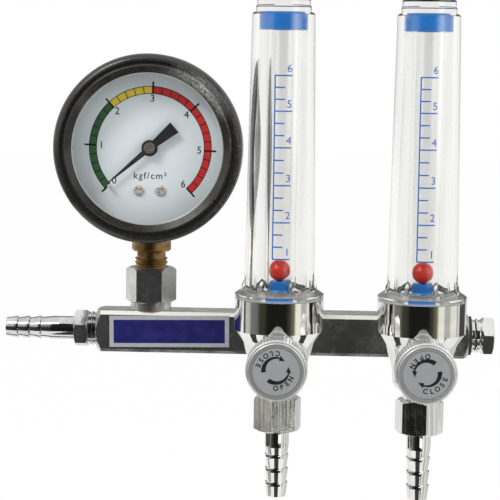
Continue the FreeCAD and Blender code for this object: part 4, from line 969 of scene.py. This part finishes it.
def lettering(name, words, cap, x, y, height=INK, stretch=1.0, turn=0.0, bold=0.0, spacing=1.0):
    """A word as a thin flat mesh round a point in the XY plane, sized by the height of its capitals."""
    curve = bpy.data.curves.new(name, "FONT")
    curve.body = words
    curve.size = cap / CAP_SHARE
    curve.align_x = "CENTER"
    curve.align_y = "CENTER"
    curve.resolution_u = 4
    curve.extrude = height / 2
    curve.bevel_depth = bold
    curve.bevel_resolution = 0
    curve.space_character = spacing
    text = bpy.data.objects.new(name, curve)
    bpy.context.scene.collection.objects.link(text)
    graph = bpy.context.evaluated_depsgraph_get()
    mesh = bpy.data.meshes.new_from_object(text.evaluated_get(graph))
    bpy.data.objects.remove(text)
    mesh.transform(Matrix.Translation((x, y, height / 2)) @ Matrix.Rotation(turn, 4, "Z")
                   @ Matrix.Diagonal((stretch, 1, 1, 1)))
    return mesh


def merged(name, meshes):
    """Several meshes as one."""
    work = bmesh.new()
    for mesh in meshes:
        work.from_mesh(mesh)
        bpy.data.meshes.remove(mesh)
    result = bpy.data.meshes.new(name)
    bmesh.ops.remove_doubles(work, verts=work.verts, dist=1e-7)
    bmesh.ops.recalc_face_normals(work, faces=work.faces)
    work.to_mesh(result)
    work.free()
    return result


NUMBER_RADIUS, NUMBER_CAP = 17.6 * MM, 2.5 * MM
UNIT_DROP, UNIT_CAP = 10.1 * MM, 2.3 * MM
numbers = []
for value in range(MAIN_MARKS):
    angle = dial_angle(value)
    spot = NUMBER_RADIUS * math.cos(angle), NUMBER_RADIUS * math.sin(angle)
    numbers.append(lettering("number", str(value), NUMBER_CAP, *spot, stretch=0.95, bold=0.025 * MM))
finish_mesh(merged("dial_numbers", numbers), "dial_numbers", on_dial, black_ink, "manifold")
unit = lettering("dial_unit", "kgf/cm²", UNIT_CAP, 0, -UNIT_DROP, bold=0.02 * MM, spacing=1.2)
finish_mesh(unit, "dial_unit", on_dial, black_ink, "manifold")
print("dial numbers:", len(numbers))

# %% [markdown]
# The flow scale is printed on the front of the inner tube. Its lines and figures are drawn flat and then
# bent round the tube, so that they follow its curve: a point's distance from the middle line becomes an
# angle. The steps aren't quite even on the real tube, so the heights of its six long lines are a short
# list.

# %% Flow scale lines
SCALE_Z = [height * MM for height in (29.9, 42.65, 55.5, 68.55, 81.1, 93.3)]
SCALE_LEFT, SHORT_END, LONG_END = -2.5 * MM, 0.85 * MM, 3.5 * MM
LINE = 0.48 * MM


def line_row_tree(material):
    """Bars in an upright row, which all start at the same distance from the middle."""
    tree = bpy.data.node_groups.new("scale_lines", "GeometryNodeTree")
    add_sockets(tree, "INPUT", {"Geometry": "Geometry", "Count": "Int", "First Height": "Float",
                                "Spacing": "Float", "Left": "Float", "Length": "Float", "Width": "Float",
                                "Thickness": "Float"})
    add_sockets(tree, "OUTPUT", {"Geometry": "Geometry"})
    start = add(tree, "NodeGroupInput")
    row = add(tree, "GeometryNodeMeshLine", mode="OFFSET")
    first = add(tree, "ShaderNodeCombineXYZ")
    step = add(tree, "ShaderNodeCombineXYZ")
    middle = add(tree, "ShaderNodeMath", {1: 0.5}, operation="MULTIPLY_ADD")
    size = add(tree, "ShaderNodeCombineXYZ")
    bar = add(tree, "GeometryNodeMeshCube", {"Vertices X": 8})
    copies = add(tree, "GeometryNodeInstanceOnPoints")
    real = add(tree, "GeometryNodeRealizeInstances")
    ink = add(tree, "GeometryNodeSetMaterial", {"Material": material})
    end = add(tree, "NodeGroupOutput")
    join(tree, start, "Length", middle, 0)
    join(tree, start, "Left", middle, 2)
    join(tree, middle, 0, first, "X")
    join(tree, start, "First Height", first, "Y")
    join(tree, start, "Spacing", step, "Y")
    join(tree, start, "Count", row, "Count")
    join(tree, first, 0, row, "Start Location")
    join(tree, step, 0, row, "Offset")
    join(tree, start, "Length", size, "X")
    join(tree, start, "Width", size, "Y")
    join(tree, start, "Thickness", size, "Z")
    join(tree, size, 0, bar, "Size")
    join(tree, row, "Mesh", copies, "Points")
    join(tree, bar, "Mesh", copies, "Instance")
    join(tree, copies, 0, real, 0)
    join(tree, real, 0, ink, "Geometry")
    join(tree, ink, "Geometry", end, "Geometry")
    return tree


scale_lines = line_row_tree(blue_ink)


def scale_bars(name, count, first, spacing, length, width=LINE, left=SCALE_LEFT, thickness=INK):
    """Scale lines of one length, grown by the row tree."""
    return grown(name, scale_lines, {"Count": count, "First Height": first, "Spacing": spacing, "Left": left,
                                     "Length": length, "Width": width, "Thickness": thickness})


def wrapped(mesh, radius):
    """Bends flat work in XY round an upright tube: X goes round it, Y goes up and Z stands out from it."""
    for vertex in mesh.vertices:
        x, y, z = vertex.co
        angle = x / radius
        vertex.co = ((radius + z) * math.sin(angle), -(radius + z) * math.cos(angle), y)
    return mesh


# %% Flow scales
FIGURE_X, FIGURE_RISE, FIGURE_CAP = 2.5 * MM, 2.35 * MM, 2.55 * MM


def scale_print(name):
    """One flat scale: a long line and a figure at each whole number, two short ones between, an upright."""
    last = len(SCALE_Z) - 1
    parts = []
    for k, height in enumerate(SCALE_Z):
        parts.append(scale_bars("long_line", 1, height, 0.0, LONG_END - SCALE_LEFT))
        if k < last:
            third = (SCALE_Z[k + 1] - height) / 3
            parts.append(scale_bars("short_lines", 2, height + third, third, SHORT_END - SCALE_LEFT))
        parts.append(lettering("figure", str(k + 1), FIGURE_CAP, FIGURE_X, height + FIGURE_RISE,
                               stretch=1.05, bold=0.02 * MM))
    tall = SCALE_Z[last] - SCALE_Z[0] + LINE
    parts.append(scale_bars("upright_line", 1, (SCALE_Z[0] + SCALE_Z[last]) / 2, 0.0, LINE, tall,
                            SCALE_LEFT - LINE / 2, 1.2 * INK))
    return merged(name, parts)


for side in ("left", "right"):
    name = side + "_scale_print"
    low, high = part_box(side + "_metering_tube")
    centre = Matrix.Translation(((low[0] + high[0]) / 2, (low[1] + high[1]) / 2, 0))
    scale = wrapped(scale_print(name), (high[0] - low[0]) / 2)
    finish_mesh(scale, name, centre, blue_ink, "manifold")
    print(side, "scale faces:", len(scale.polygons))

# %% [markdown]
# Each knob's disc says which way to turn. An arrow is an arc that grows from its head's neck to a broad
# tail, and a word follows the arc outside it, one letter at a time. The two knobs were fitted half a turn
# apart.

# %% Knob prints
ARROW_RADIUS, WORD_RADIUS, WORD_CAP = 4.25 * MM, 5.95 * MM, 1.6 * MM
ARROW_TAIL, ARROW_NECK, ARROW_HEAD = 1.6 * MM, 0.5 * MM, 1.8 * MM
ARROW_SPOT, WORD_SPOT = (0.0, 0.54 * MM), (-0.4 * MM, 0.36 * MM)
ARROW_STEPS, HEAD_SHARE = 14, 1.15
LETTER_STEP, LETTER_BOLD = math.radians(20.3), 0.06 * MM


def on_arc(radius, angle):
    """A point in the XY plane by its distance and its angle in radians."""
    return radius * math.cos(angle), radius * math.sin(angle)


def arrow(name, start, end):
    """A curved arrow from its tail at one angle to its head at another, in radians."""
    side = 1 if end > start else -1
    outer, inner = [], []
    for k in range(ARROW_STEPS + 1):
        angle = start + (end - start) * k / ARROW_STEPS
        half = (ARROW_TAIL + (ARROW_NECK - ARROW_TAIL) * k / ARROW_STEPS) / 2
        outer.append(on_arc(ARROW_RADIUS + half, angle))
        inner.append(on_arc(ARROW_RADIUS - half, angle))
    tip = end + side * ARROW_HEAD * HEAD_SHARE / ARROW_RADIUS
    barbs = [on_arc(ARROW_RADIUS + reach, end) for reach in (ARROW_HEAD / 2, -ARROW_HEAD / 2)]
    points = outer + [barbs[0], on_arc(ARROW_RADIUS, tip), barbs[1]] + inner[::-1]
    work = bmesh.new()
    face = work.faces.new([work.verts.new((x, y, 0)) for x, y in points])
    grown_out = bmesh.ops.extrude_face_region(work, geom=[face])
    lifted = [g for g in grown_out["geom"] if isinstance(g, bmesh.types.BMVert)]
    bmesh.ops.translate(work, verts=lifted, vec=(0, 0, INK))
    bmesh.ops.triangulate(work, faces=work.faces)
    bmesh.ops.recalc_face_normals(work, faces=work.faces)
    mesh = bpy.data.meshes.new(name)
    work.to_mesh(mesh)
    work.free()
    return mesh


def arc_word(word, middle):
    """Letters set round an arc, feet outwards, reading counter-clockwise."""
    letters = []
    for k, letter in enumerate(word):
        angle = middle + (k - (len(word) - 1) / 2) * LETTER_STEP
        letters.append(lettering("letter", letter, WORD_CAP, *on_arc(WORD_RADIUS, angle), stretch=0.95,
                                 turn=angle + math.pi / 2, bold=LETTER_BOLD))
    return letters


def knob_print(name, turn, mirror):
    """Both arrows and both words, turned as the knob was fitted."""
    arrows, words = [], []
    for label, tail, neck in (("close", 190, 75), ("open", 232, 350)):
        arrows.append(arrow(label, math.radians(tail), math.radians(neck)))
    for word, middle in (("CLOSE", 122.5), ("OPEN", 303.5)):
        words += arc_word(word, math.radians(middle))
    for meshes, (across, up) in ((arrows, ARROW_SPOT), (words, WORD_SPOT)):
        spot = Matrix.Translation((mirror * across, up, 0)) @ Matrix.Rotation(turn, 4, "Z")
        for mesh in meshes:
            mesh.transform(spot)
    return merged(name, arrows + words)


for side, turn, mirror in (("left", 0.0, 1), ("right", math.radians(180), -1)):
    name = side + "_knob_print"
    low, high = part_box(side + "_knob_disc")
    disc = facing_user((low[0] + high[0]) / 2, low[1], (low[2] + high[2]) / 2)
    finish_mesh(knob_print(name, turn, mirror), name, disc, black_ink, side + "_knob")

# %% [markdown]
# The label plate is silver with a blue field. The field is a raised coat of enamel, so it is a thin slab of
# its own with rounded corners. The plate stays bare.

# %% Label field
label_low, label_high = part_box("label_plate")
FIELD_LENGTH, FIELD_HEIGHT, FIELD_TURN = 40.4 * MM, 8.5 * MM, math.radians(1.0)
FIELD_CORNER, FIELD_THICK, CORNER_STEPS = 0.25 * MM, 0.04 * MM, 4


def rounded_slab(name, width, height, corner, thick):
    """A flat plate with round corners, with its foot on z 0."""
    work = bmesh.new()
    points = []
    for cx, cy, first in ((1, 1, 0), (-1, 1, 90), (-1, -1, 180), (1, -1, 270)):
        for k in range(CORNER_STEPS + 1):
            x, y = on_arc(corner, math.radians(first + 90 * k / CORNER_STEPS))
            points.append((cx * (width / 2 - corner) + x, cy * (height / 2 - corner) + y))
    low_ring = [work.verts.new((x, y, 0)) for x, y in points]
    top_ring = [work.verts.new((x, y, thick)) for x, y in points]
    work.faces.new(top_ring)
    work.faces.new(low_ring[::-1])
    for a in range(len(points)):
        b = (a + 1) % len(points)
        work.faces.new((low_ring[a], low_ring[b], top_ring[b], top_ring[a]))
    mesh = bpy.data.meshes.new(name)
    work.to_mesh(mesh)
    work.free()
    return mesh


field = rounded_slab("label_field", FIELD_LENGTH, FIELD_HEIGHT, FIELD_CORNER, FIELD_THICK)
spot = facing_user((label_low[0] + label_high[0]) / 2, label_low[1], (label_low[2] + label_high[2]) / 2)
finish_mesh(field, "label_field", spot @ Matrix.Rotation(FIELD_TURN, 4, "Z"), label_navy, "manifold")
print("label field faces:", len(field.polygons))

# %% [markdown]
# Last comes the plain colour view, so that white stays white.

# %% Look
bpy.context.scene.view_settings.view_transform = "Standard"
